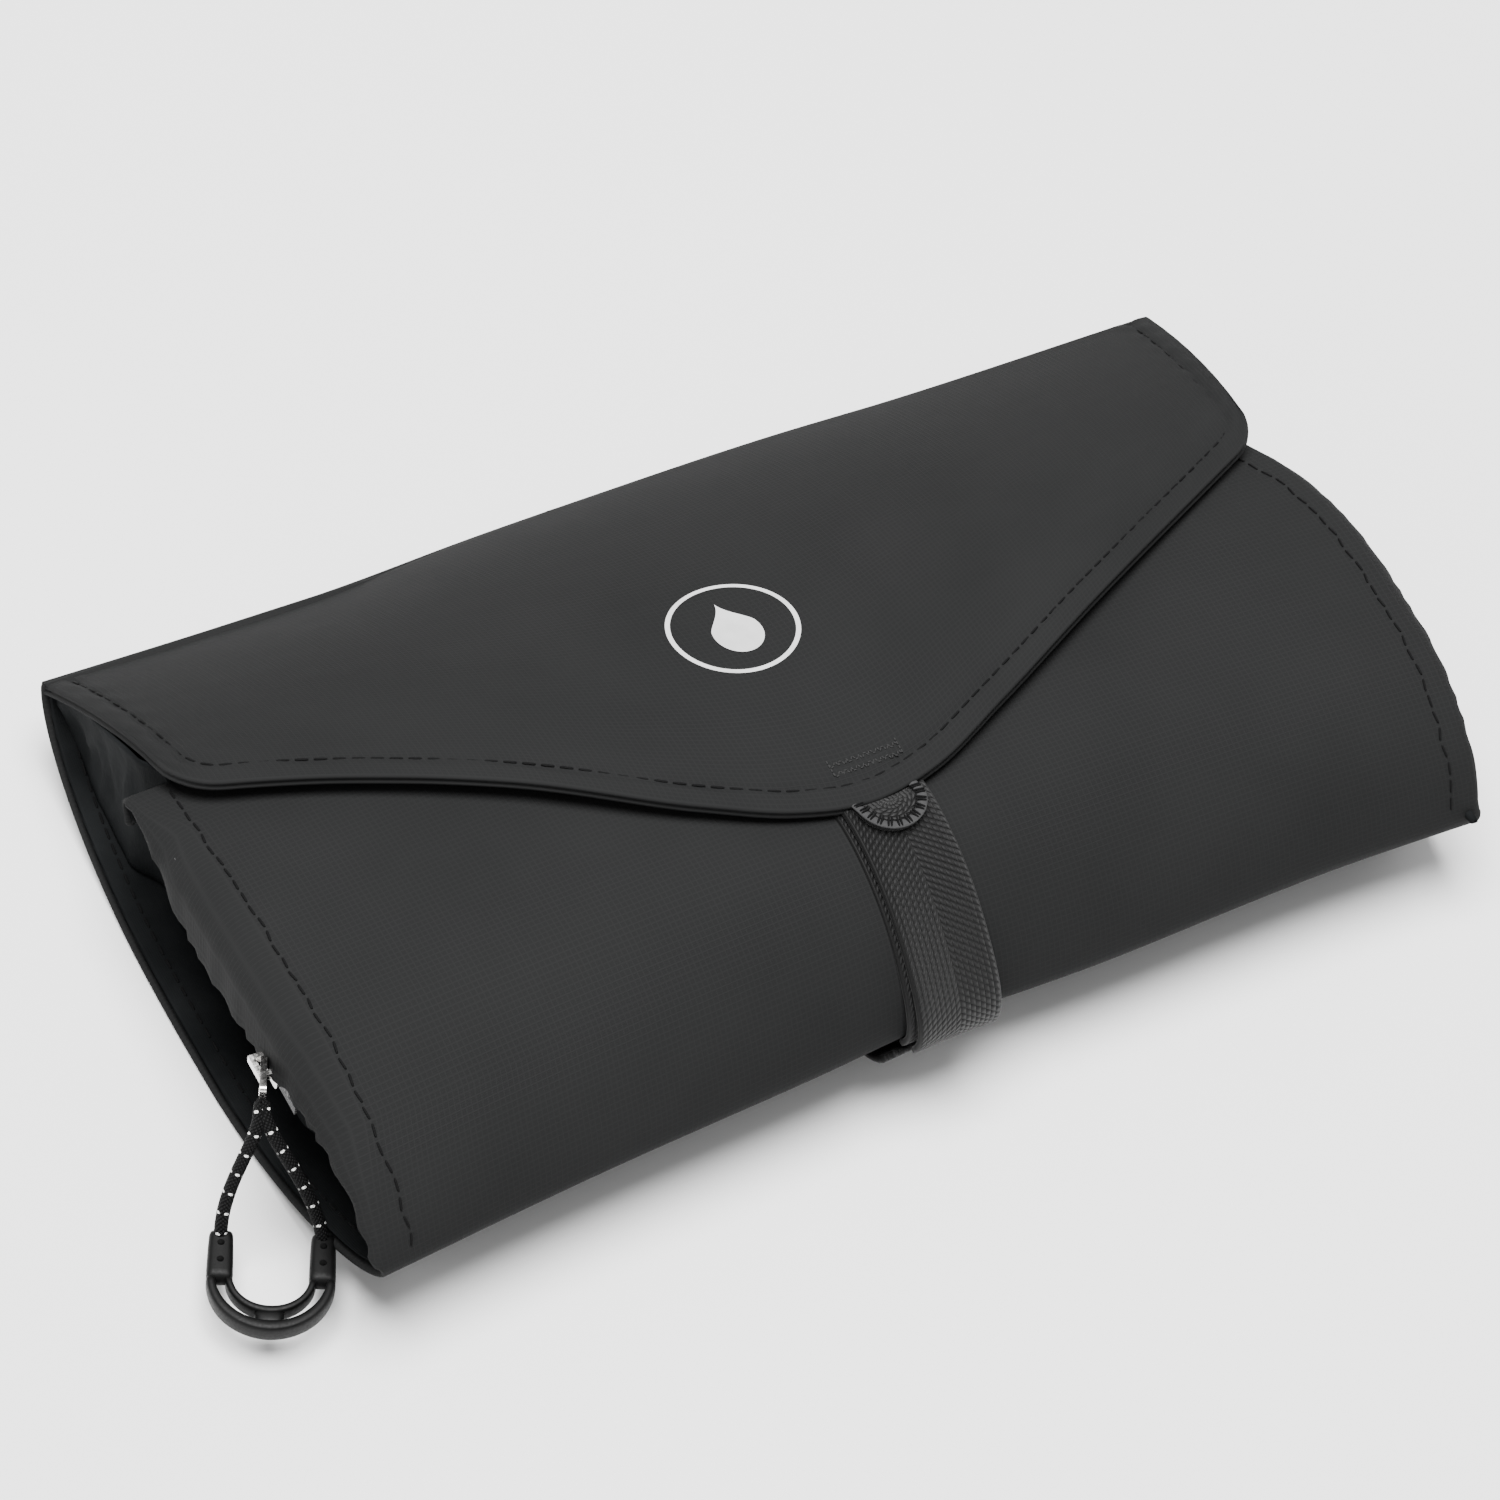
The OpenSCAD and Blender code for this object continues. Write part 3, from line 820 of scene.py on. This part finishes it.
def flap_stitching():
    """A row of stitches parallel to the flap's free edges."""
    t = np.linspace(0, 1, 60)
    ends = np.linspace(0.9, 1, 30)
    across = np.concatenate([-ends[::-1], np.linspace(-0.9, 0.9, 160)[1:-1], ends])
    outline = np.concatenate([
        np.stack(flap_place(-np.ones_like(t), t), 1),
        np.stack(flap_place(across, np.ones_like(across)), 1),
        np.stack(flap_place(np.ones_like(t), t[::-1]), 1),
    ])
    outline = resample(outline, 1.0)
    run = unit(np.gradient(outline, axis=0))
    inner = outline + np.stack([-run[:, 1], run[:, 0]], 1) * FLAP_STITCH
    seam = np.column_stack([inner, flap_height(inner[:, 0], inner[:, 1]) - 0.42])
    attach(stitches("flap_stitching", [seam[4:-4]], thread), "flap")


def spine_fold():
    """The cloth between the flap and the back section, baked in place."""
    x, _ = flap_place(np.linspace(-1, 1, 90), np.zeros(90))
    x, t = spans(x, np.linspace(0, 1, 17))
    rear = flap_height(x, np.full_like(x, HALF_D))
    y = HALF_D - 0.5 + 2.3 * np.sin(t * math.pi) ** 0.7
    grid = np.stack([x, y, rear + 0.1 + (SPINE_Z - 3.5 - rear) * t], -1)
    made = sheet("spine_fold", grid, [(0, 0), (0.4, 0.6), (0, 1.2)], [cloth, lining])
    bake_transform(made)


# Strap and hook-and-loop patches


def strap():
    """Two layers of webbing round the front section, the inner one a little to the left."""
    bulge = 2.6 * bell(np.arange(rows) - fold_row + 2, 7.0)
    outer = wrap_strip(-STRAP_HALF, STRAP_HALF, STRAP_FIRST_ROW, fold_row + 3, 2.5 + bulge)
    inner = wrap_strip(-STRAP_HALF - 1.2, STRAP_HALF - 1, STRAP_FIRST_ROW, fold_row + 4, 0.8 + bulge * 0.6)
    top = sheet("strap_outer", outer, STRAP_RIM, [webbing], -1)
    below = sheet("strap_inner", inner, STRAP_RIM, [webbing], -1)
    belongs(top, "front_section", "webbing", "strap")
    belongs(below, "front_section", "webbing")


def strap_anchor():
    """The end of the strap that is sewn under the back section."""
    lift = 2.0 + 1.6 * bell(np.arange(rows) - fold_row - 5, 4.0)
    grid = wrap_strip(-STRAP_HALF - 6, STRAP_HALF - 1, fold_row + 4, fold_row + 22, lift)
    made = sheet("strap_anchor_tail", grid, STRAP_RIM, [webbing], -1)
    belongs(made, "back_section", "webbing", "strap_anchor")


def strap_surface(y, lift):
    """Height of a surface lifted off the front section in the middle of the bag."""
    section = on_wrap(0.0, lift)[:fold_row]
    order = np.argsort(section[:, 1])
    return np.interp(y, section[order, 1], section[order, 2])


def patch(name, y_low, y_high, surface, body, node, material):
    """A hook-and-loop patch that lies on a surface."""
    xs = np.linspace(-STRAP_HALF + 1, STRAP_HALF - 1, 9)
    x, y = spans(xs, np.linspace(y_high, y_low, 15))
    grid = np.stack([x, y, surface(x, y)], -1)
    made = sheet(name, grid, [(0, 0), (0.3, 0.3), (0.3, 0.8), (0, 1.0)], [material], -1)
    belongs(made, body, "hook_and_loop", node)


def above_strap(x, y):
    return strap_surface(y, 3.4)


def below_flap(x, y):
    return flap_height(x, y) - FLAP_T + 0.1


# Pull tab: a half-round end of webbing under a sewn rim


def on_tab(x, down, lift):
    """A point of the tab: down is the distance along it from its root."""
    down = np.asarray(down)
    y = TAB_ROOT - down * 0.93
    droop = 0.32 * ease(down / 6)
    z = strap_surface(y, 3.9 + lift) - 0.8 + 1.3 * ease((down - 3) / 4) - droop
    return np.stack(np.broadcast_arrays(x, y, z), -1)


def tab_plan(r):
    """The tab's outline, from its left root round to its right root."""
    turn = np.linspace(math.pi, 2 * math.pi, 33)
    left = np.column_stack([np.full(8, -r), np.linspace(0, TAB_STRAIGHT, 9)[:-1]])
    bend = np.column_stack([r * np.cos(turn), TAB_STRAIGHT - r * np.sin(turn)])
    return np.concatenate([left, bend, left[::-1] * [-1, 1]])


def pull_tab():
    """The tab that lifts the flap: its webbing, its rim and pairs of stitches over the rim."""
    edge = tab_plan(TAB_R - 0.5)
    middle = np.column_stack([0 * edge[:, 0], np.minimum(edge[:, 1], TAB_STRAIGHT)])
    grid = np.array([on_tab(*(middle + (edge - middle) * s).T, 0.0) for s in np.linspace(0, 1, 9)])
    face = sheet("pull_tab_cloth", grid, [(0, 0), (0.2, 0.6), (0, 1.2)], [tab_webbing])
    belongs(face, "flap", "webbing", "pull_tab")
    line = tab_plan(TAB_R - TAB_RIM / 2)
    path = on_tab(line[:, 0], line[:, 1], 0.35)
    rim = tube("pull_tab_binding", path, TAB_RIM / 2, rim_cloth, sides=14, flatten=0.42)
    belongs(rim, "flap", "webbing", "pull_tab_rim")
    whip = []
    marks = resample(line, 2.3)[2:-2]
    for at, run in zip(marks, unit(np.gradient(marks, axis=0))):
        across = np.array([-run[1], run[0]])
        for shift in (-0.35, 0.35):
            ends = [at + run * shift + across * s for s in np.linspace(-1.25, 1.25, 6)]
            whip.append(np.array([on_tab(*end, 1.0) for end in ends]))
    whip_threads = stitches("pull_tab_stitching", whip, thread, length=2.4, gap=0.0, radius=0.24)
    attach(whip_threads, "flap")


def bar_tack():
    """A box of small stitches on the flap, over the root of the tab."""
    bars = []
    for y in (-33.0, -30.6):
        xs = np.linspace(-TAB_R, TAB_R, 40)
        ys = y + 0.55 * np.sign(np.sin(xs * 4.2))
        bars.append(np.column_stack([xs, ys, flap_height(xs, ys) + 0.05]))
    for x in (-TAB_R, TAB_R):
        ys = np.linspace(-33.2, -28.8, 12)
        bars.append(np.column_stack([np.full(12, x), ys, flap_height(x, ys) + 0.1]))
    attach(stitches("flap_bar_tack", bars, pale_thread, length=0.8, gap=0.3, radius=0.2), "flap")


# Printed mark on the flap: a ring round a drop of water


def print_on_flap(name, outline, inside, filled):
    """A flat print on the flap, between two outlines with the same number of points."""
    centre = np.array(MARK_AT)
    rings = [centre + outline + (inside - outline) * s for s in (0, 0.33, 0.67, 1)]
    n = len(outline)
    verts = [(*p, flap_height(p[0], p[1]) + 0.12) for ring in rings for p in ring]
    faces = skin(len(rings), n, capped=False)
    if filled:
        faces.append(tuple(range(3 * n, 4 * n)))
    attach(solid(name, verts, faces, [print_ink]), "flap")


def printed_mark():
    """The ring, and the drop inside it."""
    turn = np.linspace(0, 2 * math.pi, 96, endpoint=False)
    ring = np.column_stack([np.cos(turn), np.sin(turn)])
    print_on_flap("mark_ring", ring * MARK_R, ring * (MARK_R - MARK_LINE), False)
    swell = 5.4 * (1 - 0.35 * np.sin(turn))
    x = swell * np.cos(turn) * (1 - np.maximum(np.sin(turn), 0) ** 1.5)
    drop = np.column_stack([x, 7.5 * np.sin(turn) + 1.2 * np.sin(turn) ** 3])
    print_on_flap("mark_drop", drop, drop * 0.02, True)


# Hem stitching on the front section and on the back section's ends


def hem_line(side, first, last, inset, lift):
    """A line of points a given distance in from an end of the wrap, lifted off the cloth."""
    points = []
    for k in range(first, last):
        column = wrap[::side, k]
        reach = side * column[:, 0]
        outer_reach = np.maximum.accumulate(reach)
        points.append([np.interp(reach[-1] - inset, outer_reach, column[:, axis]) for axis in range(3)])
    points = np.array(points)
    run = unit(np.gradient(points, axis=0))
    normal = np.stack([0 * run[:, 0], -run[:, 2], run[:, 1]], 1)
    return points - unit(normal) * lift


def hem_stitching():
    """One row along each end of the front section, and one on each face of the back section's."""
    front = [hem_line(side, 9, fold_row - 1, HEM, 0.12) for side in (-1, 1)]
    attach(stitches("front_stitching", front, thread), "front_section")
    back = [
        hem_line(side, fold_row + 6, rows - 3, BACK_HEM, lift)
        for lift in (-BACK_T - 0.1, 0.1)
        for side in (-1, 1)
    ]
    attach(stitches("back_stitching", back, thread), "back_section")


# Linings


def apply_modifiers(obj):
    graph = bpy.context.evaluated_depsgraph_get()
    final = bpy.data.meshes.new_from_object(obj.evaluated_get(graph), depsgraph=graph)
    obj.modifiers.clear()
    obj.data = final


def run_cloth(obj):
    """A short inflation, so that the cloth bulges and creases between its edges."""
    step = obj.modifiers.new("Cloth", "CLOTH")
    step.settings.quality = 6
    step.settings.mass = 0.2
    step.settings.tension_stiffness = 12
    step.settings.compression_stiffness = 12
    step.settings.bending_stiffness = 0.3
    step.settings.use_pressure = True
    step.settings.uniform_pressure_force = 4
    step.settings.effector_weights.gravity = 0
    step.point_cache.frame_start = 1
    step.point_cache.frame_end = 20
    scene = bpy.context.scene
    for frame_number in range(1, 21):
        scene.frame_set(frame_number)
    apply_modifiers(obj)
    scene.frame_set(1)


def crumple(made):
    """Inflates a block by no more than a limit, and gathers its ends into folds."""
    start = np.array([v.co for v in made.data.vertices], float)
    run_cloth(made)
    now = np.array([v.co for v in made.data.vertices], float)
    shift = now - start
    length = np.linalg.norm(shift, axis=1, keepdims=True)
    now = start + shift * np.minimum(1, CRUMPLE * MM / np.maximum(length, 1e-9))
    y = now[:, 1] / MM
    z = now[:, 2] / MM
    fold = np.sin(y * 0.42 + 2.2 * np.sin(y * 0.11)) * np.sin(z * 0.18 + 0.5)
    near_end = np.clip((np.abs(start[:, 0]) / MM - PAD_HALF + 14) / 14, 0, 1)
    now[:, 0] -= np.sign(start[:, 0]) * (END_FOLD * MM * (0.5 + 0.5 * fold) * near_end)
    made.data.vertices.foreach_set("co", now.ravel())


def pocket_outline():
    """YZ outline of the back section's padded pocket, with the zip sunk into its lid."""
    section, _ = wrap_section(np.array([0.0]))
    panel = section[0] + inward(section)[0] * (BACK_T + PAD_GAP)
    panel = panel[fold_row + 9 : rows - 3]
    zip_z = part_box("back_zip_tape")[0].z / MM
    lid = np.array([
        (HALF_D - 9, zip_z + 1.5), (62, zip_z - 0.8), (50, zip_z - 1.6), (36, zip_z - 1.2),
        (-20, zip_z - 0.5), (-66, zip_z - 1.0),
    ])
    return resample(np.concatenate([panel, lid, panel[:1]]), PAD_STEP)[:-1]


def pocket_lining():
    """The padded pocket: a closed soft block, a little smaller at its ends, crumpled."""
    path = pocket_outline()
    n = len(path)
    middle = path.mean(0)
    inside = np.arange(-PAD_HALF + PAD_STEP, PAD_HALF - 4, PAD_STEP)
    xs = np.concatenate([[-PAD_HALF], inside, [PAD_HALF]])
    verts = []
    for x in xs:
        near_end = np.clip((PAD_HALF - abs(x)) / 6.0, 0, 1)
        size = 1 - 0.06 * (1 - near_end) ** 2
        verts += [(x, *(middle + (p - middle) * size)) for p in path]
    faces = skin(len(xs), n, capped=False)
    faces += [tuple(range(n)), tuple(range((len(xs) - 1) * n, len(xs) * n))[::-1]]
    made = solid("pocket_lining", verts, faces, [lining])
    remesh = made.modifiers.new("Remesh", "REMESH")
    remesh.mode = "VOXEL"
    remesh.voxel_size = 0.0045
    apply_modifiers(made)
    crumple(made)
    smooth = made.modifiers.new("Subdivision", "SUBSURF")
    smooth.levels = 1
    smooth.render_levels = 1
    apply_modifiers(made)
    made.data.polygons.foreach_set("use_smooth", [True] * len(made.data.polygons))
    nodes = ("back_lining", "back_pocket_face", "back_pocket_hem")
    belongs(made, "back_section", "lining_cloth", *nodes)


def folds(y, z, seed, across, along):
    """Irregular folds with sharp valleys, 0.5 at their highest. Sizes are in millimetres."""
    depths = [
        abs(noise.noise(Vector((a / across, b / along, seed)))) for a, b in zip(np.ravel(y), np.ravel(z))
    ]
    return (0.5 - 1.6 * np.array(depths)).reshape(np.shape(y))


def lining_wing(side):
    """A soft end wall of lining that stands between the back section and the flap."""
    ys = np.linspace(HALF_D - 2, -6, 60)
    y, t = spans(ys, np.linspace(0, 1, 26))
    tucked = ease((FREE_Y + 8 - y) / 9)
    x_end = side * (HALF_L - 2 - 4.5 * tucked)
    under_flap = np.minimum(flap_height(x_end, y) - FLAP_T - 0.3, 46)
    ceiling = under_flap + (WING_TUCK_Z - under_flap) * ease((FREE_Y + 3 - y) / 9)
    rear = wrap_section(np.array([0.0]))[0][0, -REAR_ROWS:]
    floor = np.minimum(np.interp(y, rear[:, 0], rear[:, 1] + BACK_T + 1), ceiling - 1)
    z = floor + (ceiling - floor) * t
    rise = np.sin(t * math.pi)
    sag = 1.4 * rise * ease((HALF_D - 2 - y) / 30)
    crease = 2.6 * folds(y, z, side * 7.0, 16.0, 26.0) * (0.3 + 0.7 * rise)
    crease += 1.1 * folds(y, z, side * 3.0, 6.0, 12.0) * rise
    x = x_end - side * (sag - crease) * (1 - 0.6 * tucked)
    name = "lining_wing_left" if side < 0 else "lining_wing_right"
    made = sheet(name, np.stack([x, y, z], -1), THIN_RIM, [lining], -side)
    belongs(made, "back_section", "lining_cloth")


def front_mesh():
    """The mesh face of the front section's pocket."""
    low, top = (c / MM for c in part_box("front_inner_panel"))
    rear = top.y - 0.5
    z0 = low.z + 0.6
    z1 = top.z - 0.4
    xs = np.linspace(-MESH_HALF, MESH_HALF, 90)
    x, t = spans(xs, np.linspace(0, 1, 40))
    puff = 1.6 * np.sin(t * math.pi) * (1 - (x / HALF_L) ** 6) + 0.4 * np.sin(x * 0.11) * np.sin(t * 9)
    front = fold_line(x) + 7
    grid = np.stack([x, front + (rear - front) * t, z0 + (z1 - z0) * t - puff], -1)
    made = sheet("front_pocket_mesh", grid, THIN_RIM, [mesh_cloth], -1)
    belongs(made, "front_section", "mesh", "front_inner_panel", "front_lining")


def front_edge_tape():
    """The tape that binds the mesh to the front section's free edge."""
    xs = np.linspace(-MESH_HALF, MESH_HALF, 120)
    path = np.column_stack([xs, np.full(120, FREE_Y + 0.4), INNER_Z - 0.2 + 0.3 * np.sin(xs * 0.2)])
    made = tube("front_edge_tape", path, 1.7, edge_cloth, flatten=0.9)
    belongs(made, "front_section", "zip_tape", "front_edge_binding")


def front_end(side):
    """The end wall of the front section, gathered a little between its hem and the mesh."""
    ys = np.linspace(-HALF_D + 7, FREE_Y - 1, 60)
    y, t = spans(ys, np.linspace(0, 1, 12))
    low = 26.0 + (y + HALF_D) * 0.045
    x_end = side * (HALF_L - 2.0)
    section, _ = wrap_section(np.array([x_end]))
    face = section[0][8:fold_row]
    order = np.argsort(face[:, 0])
    hem = np.interp(y, face[order, 0], face[order, 1])
    top = hem - 3.1 - 1.7 * ease((FREE_Y - 3 - y) / 16)
    z = low + np.maximum(top - low, 0.5) * t
    x = x_end - side * (1.2 * np.sin(t * math.pi) + 0.35 * np.sin(y * 0.5 + t * 3))
    which = "left" if side < 0 else "right"
    grid = np.stack([x, y, z], -1)
    made = sheet("front_end_" + which, grid, THIN_RIM, [lining], side)
    belongs(made, "front_section", "outer_cloth", "front_gusset_" + which)


# Pullers


def turned(points, turn):
    """Points turned about the vertical."""
    c, s = math.cos(turn), math.sin(turn)
    x, y, z = np.asarray(points, float).T
    return np.stack([x * c - y * s, x * s + y * c, z], 1)


def pull_cord(name, origin, turn, reach, drop, spread, sag, shift):
    """Two strands of cord from a loop to the arms of a grip, as one tube."""
    t = np.linspace(0, 1, 40)
    along = t ** (0.7 if drop > DEEP_DROP else 1.0)
    strands = []
    for side in (-1, 1):
        x = side * (0.4 + (spread - 0.4) * ease(t) ** 0.8) + shift * t
        y = -(CORD_START + (reach + 1.5 - CORD_START) * along) - sag * np.sin(t * math.pi)
        strands.append(np.stack([x, y, -drop * t**1.15], 1))
    path = np.concatenate([strands[0][::-1], [[0, -CORD_START + 0.9, 0.6]], strands[1]])
    return tube(name, turned(resample(path, 0.9), turn) + origin, CORD_R, cord, sides=16)


def grip_bar(points, width, height):
    """A moulded bar along a flat path, wider or narrower along its length, with soft edges."""
    path = resample(points, 0.8)
    t = np.linspace(0, 1, len(path))
    wide = np.interp(t, np.linspace(0, 1, len(width)), width) / 2
    run = unit(np.gradient(path, axis=0))
    side = np.column_stack([run[:, 1], -run[:, 0]])
    turn = np.linspace(0, 2 * math.pi, 20, endpoint=False)
    corner = 0.55
    across = np.sign(np.cos(turn)) * np.abs(np.cos(turn)) ** corner
    lift = np.sign(np.sin(turn)) * np.abs(np.sin(turn)) ** corner * height / 2
    close = np.sqrt(np.clip(np.minimum(t, 1 - t) * len(path) * 0.8 / 1.2, 0.05, 1))
    verts = []
    for k in range(len(path)):
        for a, z in zip(across, lift):
            spot = path[k] + side[k] * a * wide[k] * (0.6 + 0.4 * close[k])
            verts.append((spot[0], spot[1], z * close[k]))
    return verts, skin(len(path), len(turn))


def grip_parts():
    """The U-shaped grip, flat: two arms, and a bend split by a slot on each side of a bridge."""
    bend = np.linspace(math.pi, 2 * math.pi, 60)
    curve = np.column_stack([np.cos(bend), np.sin(bend)])
    outer = curve * (GRIP_R + 1.9) + [0, -ARM]
    inner = curve * [GRIP_R - 1.9, GRIP_R - 2.3] + [0, -ARM]
    parts = [grip_bar(outer, [1.9, 2.6, 3.0, 2.6, 1.9], 4.6), grip_bar(inner, [1.6, 1.7, 2.0, 1.7, 1.6], 4.0)]
    for side in (-1, 1):
        arm = [[side * GRIP_R, 0.0], [side * GRIP_R, -ARM / 2], [side * GRIP_R, -ARM - 1.5]]
        parts.append(grip_bar(arm, [5.0, 5.4, 5.6, 5.6], 4.4))
    parts.append(grip_bar([[0, -ARM - GRIP_R - 2], [0, -ARM - GRIP_R + 2.5]], [7, 6, 7], 3.9))
    return parts


def front_puller():
    """The cord and the grip that hang from the front zip, with two dimples in each arm, each painted as a
    dark pill that stands in for the shade in its hollow.
    """
    joint = next(j for j in frame["joints"] if j["name"] == "front_pull_swing")
    pivot = np.array(joint["pos_m"]) / MM
    low, top = (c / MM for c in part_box("front_pull_grip"))
    drop = pivot[2] - (low.z + top.z) / 2 - GRIP_LIFT
    strands = pull_cord("front_cord", pivot, PULL_TURN, GRIP_START + 1, drop, GRIP_R, -1.5, GRIP_SHIFT)
    belongs(strands, "front_zip_pull", "cord", "front_pull_cord")
    verts, faces = [], []
    for part_verts, part_faces in grip_parts():
        faces += [tuple(len(verts) + k for k in face) for face in part_faces]
        verts += part_verts
    place = np.array(verts) + [GRIP_SHIFT, -GRIP_START, -drop]
    made = solid("front_grip", turned(place, PULL_TURN) + pivot, faces, [rubber])
    belongs(made, "front_zip_pull", "grip_rubber", "front_pull_grip")
    # painted shade: a dark pill on each dimple stands in for the shade in its hollow
    spots = [(side, back) for side in (-1, 1) for back in (4.0, 8.2)]
    for number, (side, back) in enumerate(spots):
        depths = [2.5 - k * 0.3 - drop for k in (2, 1, 0)]
        stack = [(side * GRIP_R + GRIP_SHIFT, -GRIP_START - back, z) for z in depths]
        spot = turned(stack, PULL_TURN) + pivot
        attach(tube(f"grip_dimple_shade_{number}", spot, 1.0, dimple_shade, sides=16), "front_zip_pull")


def back_cord():
    """The cord of the back zip's puller, between its loop and its grip."""
    low, top = (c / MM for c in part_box("back_pull_loop"))
    grip_low, grip_top = (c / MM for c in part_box("back_pull_grip"))
    origin = np.array([top.x - 0.7, (low.y + top.y) / 2, (low.z + top.z) / 2])
    drop = origin[2] - (grip_low.z + grip_top.z) / 2
    made = pull_cord("back_cord", origin, -math.pi / 2, 29.0, drop, 11.3, 0, 0)
    belongs(made, "back_zip_slider", "cord", "back_pull_cord")


# Finishes and soft edges of the CAD nodes that are shown as they are


def finish_node(node, material, bevel):
    obj = frame["nodes"][node]
    obj.data.materials.clear()
    obj.data.materials.append(material)
    if bevel:
        soften = obj.modifiers.new("Bevel", "BEVEL")
        soften.width = bevel * MM
        soften.segments = 3
        soften.limit_method = "ANGLE"
        soften.angle_limit = math.radians(35)
        soften.harden_normals = False


def finish_nodes():
    zips = (("back", back_tape, back_coil, metal), ("front", front_tape, front_coil, front_coil))
    for zip_name, tape, teeth, stops in zips:
        finish_node(zip_name + "_zip_tape", tape, 0.0)
        finish_node(zip_name + "_zip_teeth", teeth, 0.3)
        finish_node(zip_name + "_zip_stops", stops, 0.25)
        finish_node(zip_name + "_slider", metal, 0.3)
        finish_node(zip_name + "_pull_loop", metal, 0.3)
    finish_node("back_pull_grip", rubber, 0.9)
    finish_node("hook", plastic, 0.7)
    finish_node("hook_keeper", flat_webbing, 0.3)


# Floor, light and camera


def pale_floor():
    f = Finish("pale_floor", 0.85, specular=0.2)
    vector, *_ = f.place(False)
    f.colour(f.noise(vector, 300.0), 0.3, 0.7, grey(0.92), grey(0.95))
    half = 3000
    corners = [(-half, -half, 0), (half, -half, 0), (half, half, 0), (-half, half, 0)]
    solid("floor", corners, [(0, 1, 2, 3)], [f.material])


def area_light(name, place, aim, size, power):
    data = bpy.data.lights.new(name, "AREA")
    data.shape = "DISK"
    data.size = size
    data.energy = power
    lamp = bpy.data.objects.new(name, data)
    lamp.location = place
    lamp.rotation_mode = "QUATERNION"
    lamp.rotation_quaternion = (Vector(aim) - Vector(place)).to_track_quat("-Z", "Y")
    bpy.context.scene.collection.objects.link(lamp)


def soft_light():
    """A large lamp overhead, two weak ones at the sides and an even white sky."""
    area_light("key", (-0.15, 0.0, 1.9), (0, 0, 0), 1.5, 118)
    area_light("fill", (-1.5, -0.2, 0.6), (0, 0, 0.02), 1.0, 7)
    area_light("side", (1.4, 0.5, 0.7), (0, 0, 0.02), 0.8, 4)
    world = bpy.data.worlds.new("studio")
    world.use_nodes = True
    background = world.node_tree.nodes["Background"]
    background.inputs["Color"].default_value = (1, 1, 1, 1)
    background.inputs["Strength"].default_value = 0.55
    bpy.context.scene.world = world


def camera():
    a, e, roll = CAMERA_AZIMUTH, CAMERA_ELEVATION, CAMERA_ROLL
    back = Vector((math.sin(a) * math.cos(e), -math.cos(a) * math.cos(e), math.sin(e)))
    right = Vector((math.cos(a), math.sin(a), 0))
    up = back.cross(right)
    rolled_right = right * math.cos(roll) + up * math.sin(roll)
    rolled_up = up * math.cos(roll) - right * math.sin(roll)
    data = bpy.data.cameras.new("camera")
    data.lens = CAMERA_LENS
    data.shift_x, data.shift_y = CAMERA_SHIFT
    eye = bpy.data.objects.new("camera", data)
    facing = Matrix((rolled_right, rolled_up, back)).transposed().to_4x4()
    eye.matrix_world = Matrix.Translation(CAMERA_TARGET + back * CAMERA_DISTANCE) @ facing
    bpy.context.scene.collection.objects.link(eye)
    bpy.context.scene.camera = eye


outer_wrap()
flap_cloth()
flap_stitching()
spine_fold()
strap()
strap_anchor()
patch("loop_patch", -30, -8, above_strap, "front_section", "strap_loop_patch", loops)
patch("hook_patch", -30, -10, below_flap, "flap", "flap_grip_patch", hooks)
pull_tab()
bar_tack()
printed_mark()
hem_stitching()
pocket_lining()
lining_wing(-1)
lining_wing(1)
front_mesh()
front_edge_tape()
front_end(-1)
front_end(1)
front_puller()
back_cord()
finish_nodes()
pale_floor()
soft_light()
camera()
